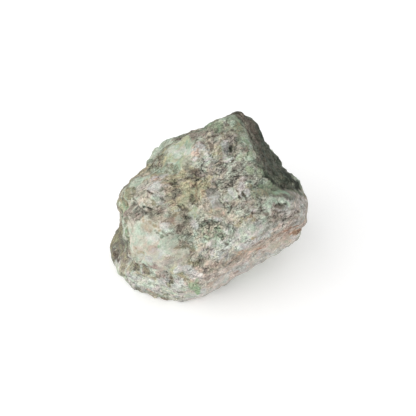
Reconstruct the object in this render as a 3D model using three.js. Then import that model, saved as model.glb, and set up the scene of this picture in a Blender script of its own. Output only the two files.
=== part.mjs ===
/**
 * Rough turquoise: one broken piece of turquoise in its host rock, lying on a flat patch.
 *
 * The stone is one closed solid. Every point of its surface lies on a ray from a point deep inside,
 * the heart, and a radius is worked out for each ray in three steps:
 *   1. broad broken faces, as a smooth blend of planes at stated distances from the heart;
 *   2. lumps, hollows and cracks, each at a stated direction;
 *   3. chipped ground and small roughness all over.
 * Units are millimetres, +Z is up, and +X is the stone's long way. The origin is on the surface that
 * the stone rests on, at the middle of its bounding box. Directions are given in degrees: azimuth
 * turns from +X towards +Y, and elevation rises from the horizontal.
 */
import * as THREE from 'three';
import { mergeVertices } from 'three/addons/utils/BufferGeometryUtils.js';

// ---- Driving dimensions ----

const HEART_HEIGHT = 27; // how high the heart lies above the resting surface
const MESH_DETAIL = 21; // each face of the icosahedron is divided into (MESH_DETAIL + 1) squared triangles
const EDGE_SHARPNESS = 22; // higher makes the edges between broken faces sharper

// Broken faces: where each plane points, and how far it lies from the heart.
const FACES = [
  { name: 'crest', azimuth: 123, elevation: 31, distance: 27.5 },
  { name: 'peak', azimuth: 72, elevation: 50, distance: 37.6 },
  { name: 'dark face', azimuth: 8, elevation: 38, distance: 30.6 },
  { name: 'right end', azimuth: -2, elevation: 2, distance: 33.9 },
  { name: 'right front', azimuth: -42, elevation: 34, distance: 32 },
  { name: 'rusty face', azimuth: -55, elevation: -17, distance: 26.8 },
  { name: 'lower slope', azimuth: -76, elevation: 23, distance: 27.5 },
  { name: 'undercut', azimuth: -30, elevation: -52, distance: 28 },
  { name: 'foot', azimuth: -108, elevation: -11, distance: 31.8 },
  { name: 'foot end', azimuth: -122, elevation: -37, distance: 42 },
  { name: 'heel', azimuth: -161, elevation: -30, distance: 40.5 },
  { name: 'bulge side', azimuth: -151, elevation: 7, distance: 33 },
  { name: 'left end', azimuth: -178, elevation: 10, distance: 33 },
  { name: 'upper left', azimuth: 165, elevation: 43, distance: 24.6 },
  { name: 'green face', azimuth: -127, elevation: 69, distance: 26 },
  { name: 'main face', azimuth: -81, elevation: 48, distance: 26.5 },
  { name: 'big bulge', azimuth: -116, elevation: 25, distance: 28.5 },
  { name: 'back left', azimuth: 148, elevation: 2, distance: 33 },
  { name: 'back', azimuth: 92, elevation: 22, distance: 31 },
  { name: 'back right', azimuth: 42, elevation: 6, distance: 33 },
  { name: 'back low', azimuth: 108, elevation: -24, distance: 33 },
  { name: 'back right low', azimuth: 55, elevation: -34, distance: 31 },
  { name: 'under the heel', azimuth: 178, elevation: -58, distance: 36.5 },
  { name: 'base', azimuth: 0, elevation: -90, distance: 28 },
];

// Round lumps (height above zero) and hollows (below zero) on those faces.
const SWELLS = [
  { name: 'upper left corner', azimuth: 139, elevation: 33, width: 9, height: 3.6 },
  { name: 'upper left edge', azimuth: 155, elevation: 32, width: 7, height: -1.1 },
  { name: 'left shoulder', azimuth: 175, elevation: 14, width: 9, height: 3 },
  { name: 'left notch', azimuth: -179, elevation: -18, width: 5.5, height: -5.5 },
  { name: 'heel lobe', azimuth: -177, elevation: -30, width: 7, height: 3.9 },
  { name: 'heel end', azimuth: -153, elevation: -35, width: 9, height: 3.8 },
  { name: 'toe', azimuth: -122, elevation: -38, width: 8, height: 2.2 },
  { name: 'hollow beside the bulge', azimuth: -107, elevation: 14, width: 6, height: -1.6 },
  { name: 'right lobe', azimuth: -4, elevation: 14, width: 10, height: 4.3 },
  { name: 'right foot', azimuth: -20, elevation: -20, width: 9, height: 2.6 },
  { name: 'slope ridge', azimuth: -64, elevation: 23, width: 8, height: 1.2 },
  { name: 'peak top', azimuth: 54, elevation: 44, width: 8, height: 1.6 },
  { name: 'crest dip', azimuth: 86, elevation: 60, width: 9, height: -1.9 },
  { name: 'green scoop', azimuth: -178, elevation: 66, width: 8, height: -1.2 },
  { name: 'dark face edge', azimuth: 38, elevation: 27, width: 5, height: -1.2 },
  { name: 'foot edge', azimuth: -94, elevation: -47, width: 7, height: -1 },
  { name: 'right lobe foot', azimuth: -9, elevation: -8, width: 5, height: 1.5 },
  { name: 'crest middle', azimuth: 127, elevation: 32, width: 6.5, height: -1.5 },
];

// Lumps and pits whose edges are steep and ragged; a higher edge value makes them steeper.
const LEDGES = [
  { name: 'left block', azimuth: -161, elevation: 31, width: 10, height: 3, edge: 3 },
  { name: 'big bulge', azimuth: -131, elevation: 10, width: 12.5, height: 3.2, edge: 3 },
  { name: 'foot ledge', azimuth: -112, elevation: -16, width: 9, height: 1.4, edge: 3 },
  { name: 'green ledge', azimuth: -24, elevation: 30, width: 8, height: 1.8, edge: 3 },
  { name: 'broken middle', azimuth: -86, elevation: 53, width: 13, height: -1.6, edge: 3 },
  { name: 'hole', azimuth: 2, elevation: 73, width: 2.4, height: -1.8, edge: 2 },
  { name: 'back ledge', azimuth: 112, elevation: 12, width: 14, height: 2.2, edge: 4 },
  { name: 'back hollow', azimuth: 66, elevation: 18, width: 11, height: -2.4, edge: 3 },
  { name: 'back shoulder', azimuth: 25, elevation: -12, width: 12, height: 2, edge: 3 },
  { name: 'back pit', azimuth: 138, elevation: -12, width: 7, height: -2, edge: 3 },
  { name: 'back foot', azimuth: 82, elevation: -34, width: 10, height: 2, edge: 3 },
];

// Cracks follow a line of [azimuth, elevation] points.
const CRACKS = [
  { name: 'block crack', line: [[-168, 16], [-145, 27], [-128, 33], [-109, 33]], width: 1.6, depth: 2.4 },
  { name: 'bulge edge', line: [[-109, 33], [-113, 17], [-104, 10], [-93, 3]], width: 1.7, depth: 1.4 },
  { name: 'bulge foot', line: [[-152, -20], [-139, -14], [-128, -11], [-117, -9]], width: 1.7, depth: 2.2 },
  { name: 'heel crease', line: [[-153, 10], [-147, 1], [-147, -9], [-151, -19]], width: 1.9, depth: 2 },
  {
    name: 'green face foot',
    line: [[-172, 52], [-156, 66], [-128, 68], [-98, 78], [-70, 70]],
    width: 1.7,
    depth: 1.2,
  },
  { name: 'middle fold', line: [[-109, 73], [-112, 57], [-112, 44], [-105, 34]], width: 1.8, depth: 1.3 },
  { name: 'crest groove', line: [[94, 79], [-30, 84]], width: 1.6, depth: 1.3 },
  { name: 'hole groove', line: [[22, 71], [-9, 73], [-35, 72]], width: 1.6, depth: 1.3 },
  { name: 'ledge foot', line: [[-32, 46], [-22, 36], [-3, 21]], width: 2.4, depth: 2.2 },
  { name: 'back crack', line: [[150, 30], [128, 24], [104, -4], [96, -26]], width: 1.9, depth: 2 },
  { name: 'back seam', line: [[84, 40], [52, 24], [24, 14]], width: 1.9, depth: 1.7 },
];

const WANDER_WAVELENGTH = 9; // the length of the bends in cracks and lump edges
const WANDER = 1.8; // how far those bends carry a crack or an edge aside
const WANDER_SEED = 31;

// Chipped ground: patches of this size, each tilted its own way.
const CHIPS = [
  { size: 13, strength: 0.3, seed: 1 },
  { size: 6.5, strength: 0.32, seed: 2 },
];
const CHIP_CREASE = 9; // higher makes the creases between chips narrower
const CHIP_SEEDS = 100; // the seeds of the chips' centres and tilts start here, clear of the others

const ROUGHNESS = { wavelength: 8, height: 0.34, octaves: 3, seed: 5 };

const COLOUR = 0xa4a395; // the mean of pale green, buff and grey-brown
const SURFACE_ROUGHNESS = 0.85;

// ---- Random values that are the same on every run ----

/** A number from 0 to 1 for a whole-number grid point: its bits are multiplied and folded. */
function latticeValue(x, y, z, seed) {
  let bits = Math.imul(x, 374761393) ^ Math.imul(y, 668265263);
  bits ^= Math.imul(z, 1442695041) ^ Math.imul(seed, 1274126177);
  bits = Math.imul(bits ^ (bits >>> 15), 2246822519);
  bits = Math.imul(bits ^ (bits >>> 13), 3266489917);
  return ((bits ^ (bits >>> 16)) >>> 0) / 2 ** 32;
}

/** A random vector for a grid point, each part from -0.5 to 0.5. */
function latticeVector(x, y, z, seed) {
  return new THREE.Vector3(
    latticeValue(x, y, z, 3 * seed) - 0.5,
    latticeValue(x, y, z, 3 * seed + 1) - 0.5,
    latticeValue(x, y, z, 3 * seed + 2) - 0.5,
  );
}

const NOISE_SCALE = 3.2; // brings the noise to about -1 to 1
const OCTAVE_SHIFT = 17.3; // moves each octave aside, so that their grid points don't line up

/** Smooth noise of wavelength 1, about -1 to 1: random slopes at the grid points, blended between. */
function noise(point, seed) {
  const cell = point.clone().floor();
  const within = point.clone().sub(cell);
  const fade = (t) => t * t * t * (t * (6 * t - 15) + 10);
  const share = { x: fade(within.x), y: fade(within.y), z: fade(within.z) };
  let total = 0;
  for (let corner = 0; corner < 8; corner += 1) {
    const step = new THREE.Vector3(corner & 1, (corner >> 1) & 1, corner >> 2);
    const slope = latticeVector(cell.x + step.x, cell.y + step.y, cell.z + step.z, seed);
    const weightX = step.x ? share.x : 1 - share.x;
    const weightY = step.y ? share.y : 1 - share.y;
    const weightZ = step.z ? share.z : 1 - share.z;
    total += weightX * weightY * weightZ * slope.dot(within.clone().sub(step));
  }
  return NOISE_SCALE * total;
}

/** Noise in octaves: each has half the wavelength and half the height of the one before. */
function roughNoise(point, wavelength, octaves, seed) {
  let total = 0;
  for (let octave = 0; octave < octaves; octave += 1) {
    const scaled = point.clone().multiplyScalar(2 ** octave / wavelength).addScalar(OCTAVE_SHIFT * octave);
    total += noise(scaled, seed + octave) / 2 ** octave;
  }
  return total;
}

// ---- The stone's surface ----

/** The unit vector at an azimuth and an elevation, in degrees. */
function direction(azimuth, elevation) {
  const rise = THREE.MathUtils.degToRad(elevation);
  const turn = THREE.MathUtils.degToRad(azimuth);
  return new THREE.Vector3(
    Math.cos(turn) * Math.cos(rise),
    Math.sin(turn) * Math.cos(rise),
    Math.sin(rise),
  );
}

const facePlanes = FACES.map(({ azimuth, elevation, distance }) => ({
  normal: direction(azimuth, elevation),
  distance,
}));

/** How far the broken faces lie along a ray: a smooth minimum of the distances to their planes. */
function faceRadius(ray) {
  let total = 0;
  for (const { normal, distance } of facePlanes) {
    total += Math.max(ray.dot(normal) / distance, 0) ** EDGE_SHARPNESS;
  }
  return total ** (-1 / EDGE_SHARPNESS);
}

const ROUND_EDGE = 2; // the edge value that makes a swell round

/** The height of a lump at a point: full at its centre, and about a third of that at its width. */
function lumpHeight(point, { centre, width, height, edge }) {
  const distance = point.distanceTo(centre) / width;
  return height * Math.exp(-(distance ** (2 * edge)));
}

const swells = SWELLS.map((swell) => {
  const ray = direction(swell.azimuth, swell.elevation);
  return { ...swell, edge: ROUND_EDGE, centre: ray.multiplyScalar(faceRadius(ray)) };
});

/** How far the ground lies along a ray: the broken faces with their swells. */
function groundRadius(ray) {
  const base = faceRadius(ray);
  const point = ray.clone().multiplyScalar(base);
  return swells.reduce((radius, swell) => radius + lumpHeight(point, swell), base);
}

/** The point of the ground at an azimuth and an elevation, measured from the heart. */
function groundPoint(azimuth, elevation) {
  const ray = direction(azimuth, elevation);
  return ray.multiplyScalar(groundRadius(ray));
}

const ledges = LEDGES.map((ledge) => ({ ...ledge, centre: groundPoint(ledge.azimuth, ledge.elevation) }));
const cracks = CRACKS.map((crack) => ({
  ...crack,
  points: crack.line.map(([azimuth, elevation]) => groundPoint(azimuth, elevation)),
}));

/** A point moved aside by noise, so that edges and cracks wander. */
function wandered(point) {
  const offset = [0, 1, 2].map((axis) => roughNoise(point, WANDER_WAVELENGTH, 2, WANDER_SEED + axis));
  return new THREE.Vector3(...offset).multiplyScalar(WANDER).add(point);
}

/** How far a crack cuts in at a point: deepest on its line, and a third of that at its width. */
function crackDepth(point, { points, width, depth }) {
  let nearest = Infinity;
  for (let i = 1; i < points.length; i += 1) {
    const stretch = new THREE.Line3(points[i - 1], points[i]);
    const closest = stretch.closestPointToPoint(point, true, new THREE.Vector3());
    nearest = Math.min(nearest, closest.distanceTo(point));
  }
  return depth * Math.exp(-((nearest / width) ** 2));
}

/** Ground broken into chips: each cell of a jittered grid tilts its own way, and neighbours blend. */
function chippedGround(point, { size, strength, seed }) {
  const scaled = point.clone().divideScalar(size);
  const cell = scaled.clone().floor();
  const centreSeed = CHIP_SEEDS + 2 * seed;
  let total = 0;
  let weights = 0;
  for (let i = 0; i < 27; i += 1) {
    const x = cell.x + (i % 3) - 1;
    const y = cell.y + (Math.floor(i / 3) % 3) - 1;
    const z = cell.z + Math.floor(i / 9) - 1;
    const middle = new THREE.Vector3(x + 0.5, y + 0.5, z + 0.5);
    const centre = latticeVector(x, y, z, centreSeed).add(middle);
    const away = scaled.clone().sub(centre);
    const weight = Math.exp(-CHIP_CREASE * away.lengthSq());
    total += weight * away.dot(latticeVector(x, y, z, centreSeed + 1));
    weights += weight;
  }
  return (strength * size * total) / weights;
}

/** The stone's radius along a ray, cut off flat at the resting surface. */
function stoneRadius(ray) {
  let radius = groundRadius(ray);
  const point = ray.clone().multiplyScalar(radius);
  const aside = wandered(point);
  for (const ledge of ledges) {
    radius += lumpHeight(aside, ledge);
  }
  for (const crack of cracks) {
    radius -= crackDepth(aside, crack);
  }
  for (const chips of CHIPS) {
    radius += chippedGround(aside, chips);
  }
  radius += ROUGHNESS.height * roughNoise(point, ROUGHNESS.wavelength, ROUGHNESS.octaves, ROUGHNESS.seed);
  const floorRadius = ray.z < 0 ? HEART_HEIGHT / -ray.z : Infinity;
  return Math.min(radius, floorRadius);
}

/** A geodesic ball whose every vertex is moved out to the stone's surface. */
function stoneGeometry() {
  const ball = new THREE.IcosahedronGeometry(1, MESH_DETAIL);
  ball.deleteAttribute('normal');
  ball.deleteAttribute('uv');
  const geometry = mergeVertices(ball, 1e-5);
  const positions = geometry.getAttribute('position');
  const ray = new THREE.Vector3();
  for (let i = 0; i < positions.count; i += 1) {
    ray.fromBufferAttribute(positions, i).normalize();
    ray.multiplyScalar(stoneRadius(ray));
    positions.setXYZ(i, ray.x, ray.y, ray.z + HEART_HEIGHT);
  }
  geometry.computeBoundingBox();
  const middle = geometry.boundingBox.getCenter(new THREE.Vector3());
  geometry.translate(-middle.x, -middle.y, 0);
  geometry.computeVertexNormals();
  return geometry;
}

const stone = new THREE.Mesh(
  stoneGeometry(),
  new THREE.MeshStandardMaterial({ color: COLOUR, roughness: SURFACE_ROUGHNESS, metalness: 0 }),
);
stone.name = 'turquoise_stone';

const part = new THREE.Group();
part.add(stone);

export default part;
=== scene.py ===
"""Rough turquoise: the looks of one broken piece of turquoise in its host rock.

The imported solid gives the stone's place and its main shapes. This script works the same form out
again on a finer grid, adds the small relief that a solid of few faces can't carry, and dresses it in
one procedural finish. The form is worked out in millimetres about the heart, a point deep inside
the stone that every ray starts from, and goes into Blender in metres.
"""

import itertools
import logging
import math
from collections.abc import Iterator
from dataclasses import dataclass, field
from enum import Enum

import bpy
import numpy as np
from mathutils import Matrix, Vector


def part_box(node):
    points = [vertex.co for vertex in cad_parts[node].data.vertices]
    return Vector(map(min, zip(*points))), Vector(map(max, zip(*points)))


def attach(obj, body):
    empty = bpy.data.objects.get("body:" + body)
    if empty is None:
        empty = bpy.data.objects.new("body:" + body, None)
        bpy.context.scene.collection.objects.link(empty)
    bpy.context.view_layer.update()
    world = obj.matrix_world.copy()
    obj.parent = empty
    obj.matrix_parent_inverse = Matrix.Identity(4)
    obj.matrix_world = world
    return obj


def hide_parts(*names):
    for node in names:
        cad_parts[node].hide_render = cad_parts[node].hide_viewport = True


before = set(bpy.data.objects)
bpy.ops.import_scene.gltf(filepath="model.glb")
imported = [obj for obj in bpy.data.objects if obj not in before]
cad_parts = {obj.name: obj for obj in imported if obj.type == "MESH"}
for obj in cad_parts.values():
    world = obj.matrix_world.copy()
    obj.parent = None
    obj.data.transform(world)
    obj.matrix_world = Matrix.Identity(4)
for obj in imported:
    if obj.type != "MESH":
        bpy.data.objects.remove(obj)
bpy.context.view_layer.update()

STONE_NODE = "turquoise_stone"
STONE_SLOT = "turquoise_in_matrix"
PIECE_NAME = "rough_turquoise"
MILLIMETRE = 0.001
HEART_HEIGHT = 27.0
BEDDING = Vector((0.85, 0.3, 0.43))
WHITE_LIGHT = (1.0, 1.0, 1.0, 1.0)

# A line on the stone: the azimuth and elevation, in degrees, of each of its corners.
Line = tuple[tuple[float, float], ...]

LOG = logging.getLogger(PIECE_NAME)


# ---- Places and random values ----


def bearing(azimuth: float, elevation: float) -> np.ndarray:
    """The unit vector at an azimuth, turned from +X towards +Y, and an elevation.

    Args:
        azimuth: degrees round the vertical.
        elevation: degrees above the horizontal.

    Returns:
        The three parts of the unit vector.
    """
    turn, rise = math.radians(azimuth), math.radians(elevation)
    return np.array([math.cos(turn) * math.cos(rise), math.sin(turn) * math.cos(rise), math.sin(rise)])


def smooth_step(values: np.ndarray, low: float, high: float) -> np.ndarray:
    """An S-curve from 0 at low to 1 at high: 3t² - 2t³ of the share t of the way between them.

    Args:
        values: the numbers to shape.
        low: where the curve leaves 0.
        high: where it reaches 1.

    Returns:
        The shaped numbers, from 0 to 1.
    """
    share = np.clip((values - low) / (high - low), 0.0, 1.0)
    return share * share * (3.0 - 2.0 * share)


class RockNoise:
    """Random values fixed to the points of a grid in space, so that every run gives the same stone."""

    AXIS_FACTORS = (374761393, 668265263, 1442695041)
    SEED_FACTOR = 1274126177
    FOLDS = ((15, 2246822519), (13, 3266489917), (16, 1))
    WORD = 0xFFFFFFFF
    FULL_SCALE = 3.2
    OCTAVE_SHIFT = 17.3
    WANDER_OCTAVES = 2

    @classmethod
    def value(cls, cells: np.ndarray, seed: int) -> np.ndarray:
        """A number from 0 to 1 for each grid point: its bits are multiplied and folded.

        Args:
            cells: whole-number grid points, one row each.
            seed: picks one of many sets of values.

        Returns:
            One number per grid point.
        """
        words = cells.astype(np.int64).astype(np.uint32)
        x, y, z = (words[:, axis] * np.uint32(factor) for axis, factor in enumerate(cls.AXIS_FACTORS))
        bits = x ^ y ^ z ^ np.uint32(seed * cls.SEED_FACTOR & cls.WORD)
        for shift, factor in cls.FOLDS:
            bits = (bits ^ (bits >> np.uint32(shift))) * np.uint32(factor)
        return bits / (cls.WORD + 1.0)

    @classmethod
    def vector(cls, cells: np.ndarray, seed: int) -> np.ndarray:
        """A random vector for each grid point, each part from -0.5 to 0.5.

        Args:
            cells: whole-number grid points, one row each.
            seed: picks one of many sets of vectors.

        Returns:
            One row of three parts per grid point.
        """
        return np.stack([cls.value(cells, 3 * seed + part) for part in range(3)], axis=1) - 0.5

    @classmethod
    def smooth(cls, points: np.ndarray, seed: int) -> np.ndarray:
        """Noise of wavelength 1: random slopes at the grid points, blended by 6t⁵ - 15t⁴ + 10t³.

        Args:
            points: where it is wanted, one row each.
            seed: picks one of many noises.

        Returns:
            One number per point, from about -1 to 1.
        """
        cells = np.floor(points)
        within = points - cells
        share = within**3 * (within * (6.0 * within - 15.0) + 10.0)
        total = np.zeros(len(points))
        for corner in range(8):
            step = np.array([corner & 1, corner >> 1 & 1, corner >> 2], float)
            weight = np.prod(np.where(step > 0, share, 1.0 - share), axis=1)
            total += weight * np.sum(cls.vector(cells + step, seed) * (within - step), axis=1)
        return cls.FULL_SCALE * total

    @classmethod
    def rough(cls, points: np.ndarray, wavelength: float, octaves: int, seed: int) -> np.ndarray:
        """Noise in octaves: each has half the wavelength and half the height of the one before.

        Args:
            points: where it is wanted, in millimetres.
            wavelength: that of the first octave, in millimetres.
            octaves: how many are added up.
            seed: that of the first octave.

        Returns:
            One number per point, mostly between -1 and 1.
        """
        total = np.zeros(len(points))
        for octave in range(octaves):
            scaled = points * (2.0**octave / wavelength) + cls.OCTAVE_SHIFT * octave
            total += cls.smooth(scaled, seed + octave) / 2.0**octave
        return total

    @classmethod
    def wandered(cls, points: np.ndarray, wavelength: float, reach: float, seed: int) -> np.ndarray:
        """The points, each moved aside by noise, so that edges and cracks wander.

        Args:
            points: in millimetres.
            wavelength: the length of the bends.
            reach: how far a bend carries a point, at full noise.
            seed: that of the X part; Y and Z follow it.

        Returns:
            The moved points.
        """
        offsets = [cls.rough(points, wavelength, cls.WANDER_OCTAVES, seed + axis) for axis in range(3)]
        return points + reach * np.stack(offsets, axis=1)


def cells_around(points: np.ndarray) -> Iterator[np.ndarray]:
    """The cell of a grid that each point lies in, and the 26 round it, one after another.

    Args:
        points: in cell widths, one row each.

    Yields:
        The low corner of one of the 27 cells, one row per point.
    """
    home = np.floor(points)
    for z, y, x in itertools.product((-1.0, 0.0, 1.0), repeat=3):
        yield home + np.array([x, y, z])


def path_distance(points: np.ndarray, corners: np.ndarray) -> np.ndarray:
    """How far each point lies from a line through corners: the least distance to its straight stretches.

    Args:
        points: one row each.
        corners: the line's points in order; one alone stands for itself.

    Returns:
        One distance per point.
    """
    nearest = np.linalg.norm(points - corners[0], axis=1)
    for start, end in zip(corners[:-1], corners[1:]):
        along = end - start
        share = np.clip((points - start) @ along / (along @ along), 0.0, 1.0)
        nearest = np.minimum(nearest, np.linalg.norm(points - start - share[:, None] * along, axis=1))
    return nearest


# ---- The stone's form ----


@dataclass(frozen=True)
class Face:
    """A broad broken face: where its plane points, in degrees, and how many millimetres from the heart."""

    name: str
    azimuth: float
    elevation: float
    distance: float


@dataclass(frozen=True)
class Lump:
    """A lump, or a hollow where the height is below zero. An edge of 2 is round and a higher one steeper."""

    name: str
    azimuth: float
    elevation: float
    width: float
    height: float
    edge: int = 2

    def rise(self, points: np.ndarray, centre: np.ndarray) -> np.ndarray:
        """The lump's height at each point: height × exp(-(distance / width)^(2 × edge)).

        Args:
            points: on the stone, in millimetres.
            centre: the lump's own place there.

        Returns:
            One height per point.
        """
        away = np.linalg.norm(points - centre, axis=1) / self.width
        return self.height * np.exp(-(away ** (2 * self.edge)))


@dataclass(frozen=True)
class Crack:
    """A crack along a line. Its width and depth are in millimetres."""

    name: str
    line: Line
    width: float
    depth: float


@dataclass(frozen=True)
class Chips:
    """Ground broken into chips of one size. Each tilts its own way, and neighbours blend at a crease."""

    FIRST_SEED = 100

    size: float
    strength: float
    seed: int
    crease: float = 9.0

    def rise(self, points: np.ndarray) -> np.ndarray:
        """The height of the chipped ground: a blend of tilted planes, one per cell of a jittered grid.

        A cell's weight is exp(-crease × distance²), with the distance to its centre in cell sizes.

        Args:
            points: in millimetres.

        Returns:
            One height per point.
        """
        scaled = points / self.size
        centre_seed = self.FIRST_SEED + 2 * self.seed
        total = np.zeros(len(points))
        weights = np.zeros(len(points))
        for cell in cells_around(scaled):
            away = scaled - cell - 0.5 - RockNoise.vector(cell, centre_seed)
            weight = np.exp(-self.crease * np.sum(away * away, axis=1))
            tilt = RockNoise.vector(cell, centre_seed + 1)
            total += weight * np.sum(away * tilt, axis=1)
            weights += weight
        return self.strength * self.size * total / weights


@dataclass(frozen=True)
class StoneForm:
    """The stone's main shapes, the same as the solid's: broken faces, swells, ledges, cracks and chips."""

    edge_sharpness: int = 22
    wander_wavelength: float = 9.0
    wander: float = 1.8
    wander_seed: int = 31
    roughness_wavelength: float = 8.0
    roughness_height: float = 0.34
    roughness_octaves: int = 3
    roughness_seed: int = 5
    chips: tuple[Chips, ...] = (Chips(13.0, 0.30, 1), Chips(6.5, 0.32, 2))
    faces: tuple[Face, ...] = (
        Face("crest", 123, 31, 27.5),
        Face("peak", 72, 50, 37.6),
        Face("dark face", 8, 38, 30.6),
        Face("right end", -2, 2, 33.9),
        Face("right front", -42, 34, 32.0),
        Face("rusty face", -55, -17, 26.8),
        Face("lower slope", -76, 23, 27.5),
        Face("undercut", -30, -52, 28.0),
        Face("foot", -108, -11, 31.8),
        Face("foot end", -122, -37, 42.0),
        Face("heel", -161, -30, 40.5),
        Face("bulge side", -151, 7, 33.0),
        Face("left end", -178, 10, 33.0),
        Face("upper left", 165, 43, 24.6),
        Face("green face", -127, 69, 26.0),
        Face("main face", -81, 48, 26.5),
        Face("big bulge", -116, 25, 28.5),
        Face("back left", 148, 2, 33.0),
        Face("back", 92, 22, 31.0),
        Face("back right", 42, 6, 33.0),
        Face("back low", 108, -24, 33.0),
        Face("back right low", 55, -34, 31.0),
        Face("under the heel", 178, -58, 36.5),
        Face("base", 0, -90, 28.0),
    )
    swells: tuple[Lump, ...] = (
        Lump("upper left corner", 139, 33, 9.0, 3.6),
        Lump("upper left edge", 155, 32, 7.0, -1.1),
        Lump("left shoulder", 175, 14, 9.0, 3.0),
        Lump("left notch", -179, -18, 5.5, -5.5),
        Lump("heel lobe", -177, -30, 7.0, 3.9),
        Lump("heel end", -153, -35, 9.0, 3.8),
        Lump("toe", -122, -38, 8.0, 2.2),
        Lump("hollow beside the bulge", -107, 14, 6.0, -1.6),
        Lump("right lobe", -4, 14, 10.0, 4.3),
        Lump("right foot", -20, -20, 9.0, 2.6),
        Lump("slope ridge", -64, 23, 8.0, 1.2),
        Lump("peak top", 54, 44, 8.0, 1.6),
        Lump("crest dip", 86, 60, 9.0, -1.9),
        Lump("green scoop", -178, 66, 8.0, -1.2),
        Lump("dark face edge", 38, 27, 5.0, -1.2),
        Lump("foot edge", -94, -47, 7.0, -1.0),
        Lump("right lobe foot", -9, -8, 5.0, 1.5),
        Lump("crest middle", 127, 32, 6.5, -1.5),
    )
    ledges: tuple[Lump, ...] = (
        Lump("left block", -161, 31, 10.0, 3.0, 3),
        Lump("big bulge", -131, 10, 12.5, 3.2, 3),
        Lump("foot ledge", -112, -16, 9.0, 1.4, 3),
        Lump("green ledge", -24, 30, 8.0, 1.8, 3),
        Lump("broken middle", -86, 53, 13.0, -1.6, 3),
        Lump("hole", 2, 73, 2.4, -1.8, 2),
        Lump("back ledge", 112, 12, 14.0, 2.2, 4),
        Lump("back hollow", 66, 18, 11.0, -2.4, 3),
        Lump("back shoulder", 25, -12, 12.0, 2.0, 3),
        Lump("back pit", 138, -12, 7.0, -2.0, 3),
        Lump("back foot", 82, -34, 10.0, 2.0, 3),
    )
    cracks: tuple[Crack, ...] = (
        Crack("block crack", ((-168, 16), (-145, 27), (-128, 33), (-109, 33)), 1.6, 2.4),
        Crack("bulge edge", ((-109, 33), (-113, 17), (-104, 10), (-93, 3)), 1.7, 1.4),
        Crack("bulge foot", ((-152, -20), (-139, -14), (-128, -11), (-117, -9)), 1.7, 2.2),
        Crack("heel crease", ((-153, 10), (-147, 1), (-147, -9), (-151, -19)), 1.9, 2.0),
        Crack("green face foot", ((-172, 52), (-156, 66), (-128, 68), (-98, 78), (-70, 70)), 1.7, 1.2),
        Crack("middle fold", ((-109, 73), (-112, 57), (-112, 44), (-105, 34)), 1.8, 1.3),
        Crack("crest groove", ((94, 79), (-30, 84)), 1.6, 1.3),
        Crack("hole groove", ((22, 71), (-9, 73), (-35, 72)), 1.6, 1.3),
        Crack("ledge foot", ((-32, 46), (-22, 36), (-3, 21)), 2.4, 2.2),
        Crack("back crack", ((150, 30), (128, 24), (104, -4), (96, -26)), 1.9, 2.0),
        Crack("back seam", ((84, 40), (52, 24), (24, 14)), 1.9, 1.7),
    )

    def face_radius(self, rays: np.ndarray) -> np.ndarray:
        """How far the broken faces lie along each ray: a smooth minimum of the distances to their planes.

        Args:
            rays: unit vectors, one row each.

        Returns:
            One radius per ray, in millimetres.
        """
        total = np.zeros(len(rays))
        for face in self.faces:
            towards = rays @ bearing(face.azimuth, face.elevation) / face.distance
            total += np.maximum(towards, 0.0) ** self.edge_sharpness
        return total ** (-1.0 / self.edge_sharpness)

    def ground_radius(self, rays: np.ndarray) -> np.ndarray:
        """How far the ground lies along each ray: the broken faces with their swells.

        Args:
            rays: unit vectors, one row each.

        Returns:
            One radius per ray, in millimetres.
        """
        radius = self.face_radius(rays)
        points = rays * radius[:, None]
        for swell in self.swells:
            ray = bearing(swell.azimuth, swell.elevation)[None]
            radius = radius + swell.rise(points, ray[0] * self.face_radius(ray))
        return radius

    def ground_points(self, line: Line) -> np.ndarray:
        """The points of the ground at a line's corners, one row each, about the heart."""
        rays = np.array([bearing(azimuth, elevation) for azimuth, elevation in line])
        return rays * self.ground_radius(rays)[:, None]

    def wandered(self, points: np.ndarray) -> np.ndarray:
        """The points moved aside as the stone's own edges and cracks are."""
        return RockNoise.wandered(points, self.wander_wavelength, self.wander, self.wander_seed)

    def crack_depth(self, points: np.ndarray) -> np.ndarray:
        """How far the cracks cut in at each point: depth × exp(-(distance / width)²), added up.

        Args:
            points: on the ground, moved aside already.

        Returns:
            One depth per point, in millimetres.
        """
        total = np.zeros(len(points))
        for crack in self.cracks:
            away = path_distance(points, self.ground_points(crack.line)) / crack.width
            total += crack.depth * np.exp(-away * away)
        return total

    def radius(self, rays: np.ndarray) -> np.ndarray:
        """The radius of the stone's main form along each ray, before its small relief.

        Args:
            rays: unit vectors, one row each.

        Returns:
            One radius per ray, in millimetres.
        """
        radius = self.ground_radius(rays)
        points = rays * radius[:, None]
        aside = self.wandered(points)
        for ledge in self.ledges:
            centre = self.ground_points(((ledge.azimuth, ledge.elevation),))[0]
            radius = radius + ledge.rise(aside, centre)
        radius = radius - self.crack_depth(aside)
        for chips in self.chips:
            radius = radius + chips.rise(aside)
        rough = RockNoise.rough(
            points, self.roughness_wavelength, self.roughness_octaves, self.roughness_seed
        )
        return radius + self.roughness_height * rough


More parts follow.
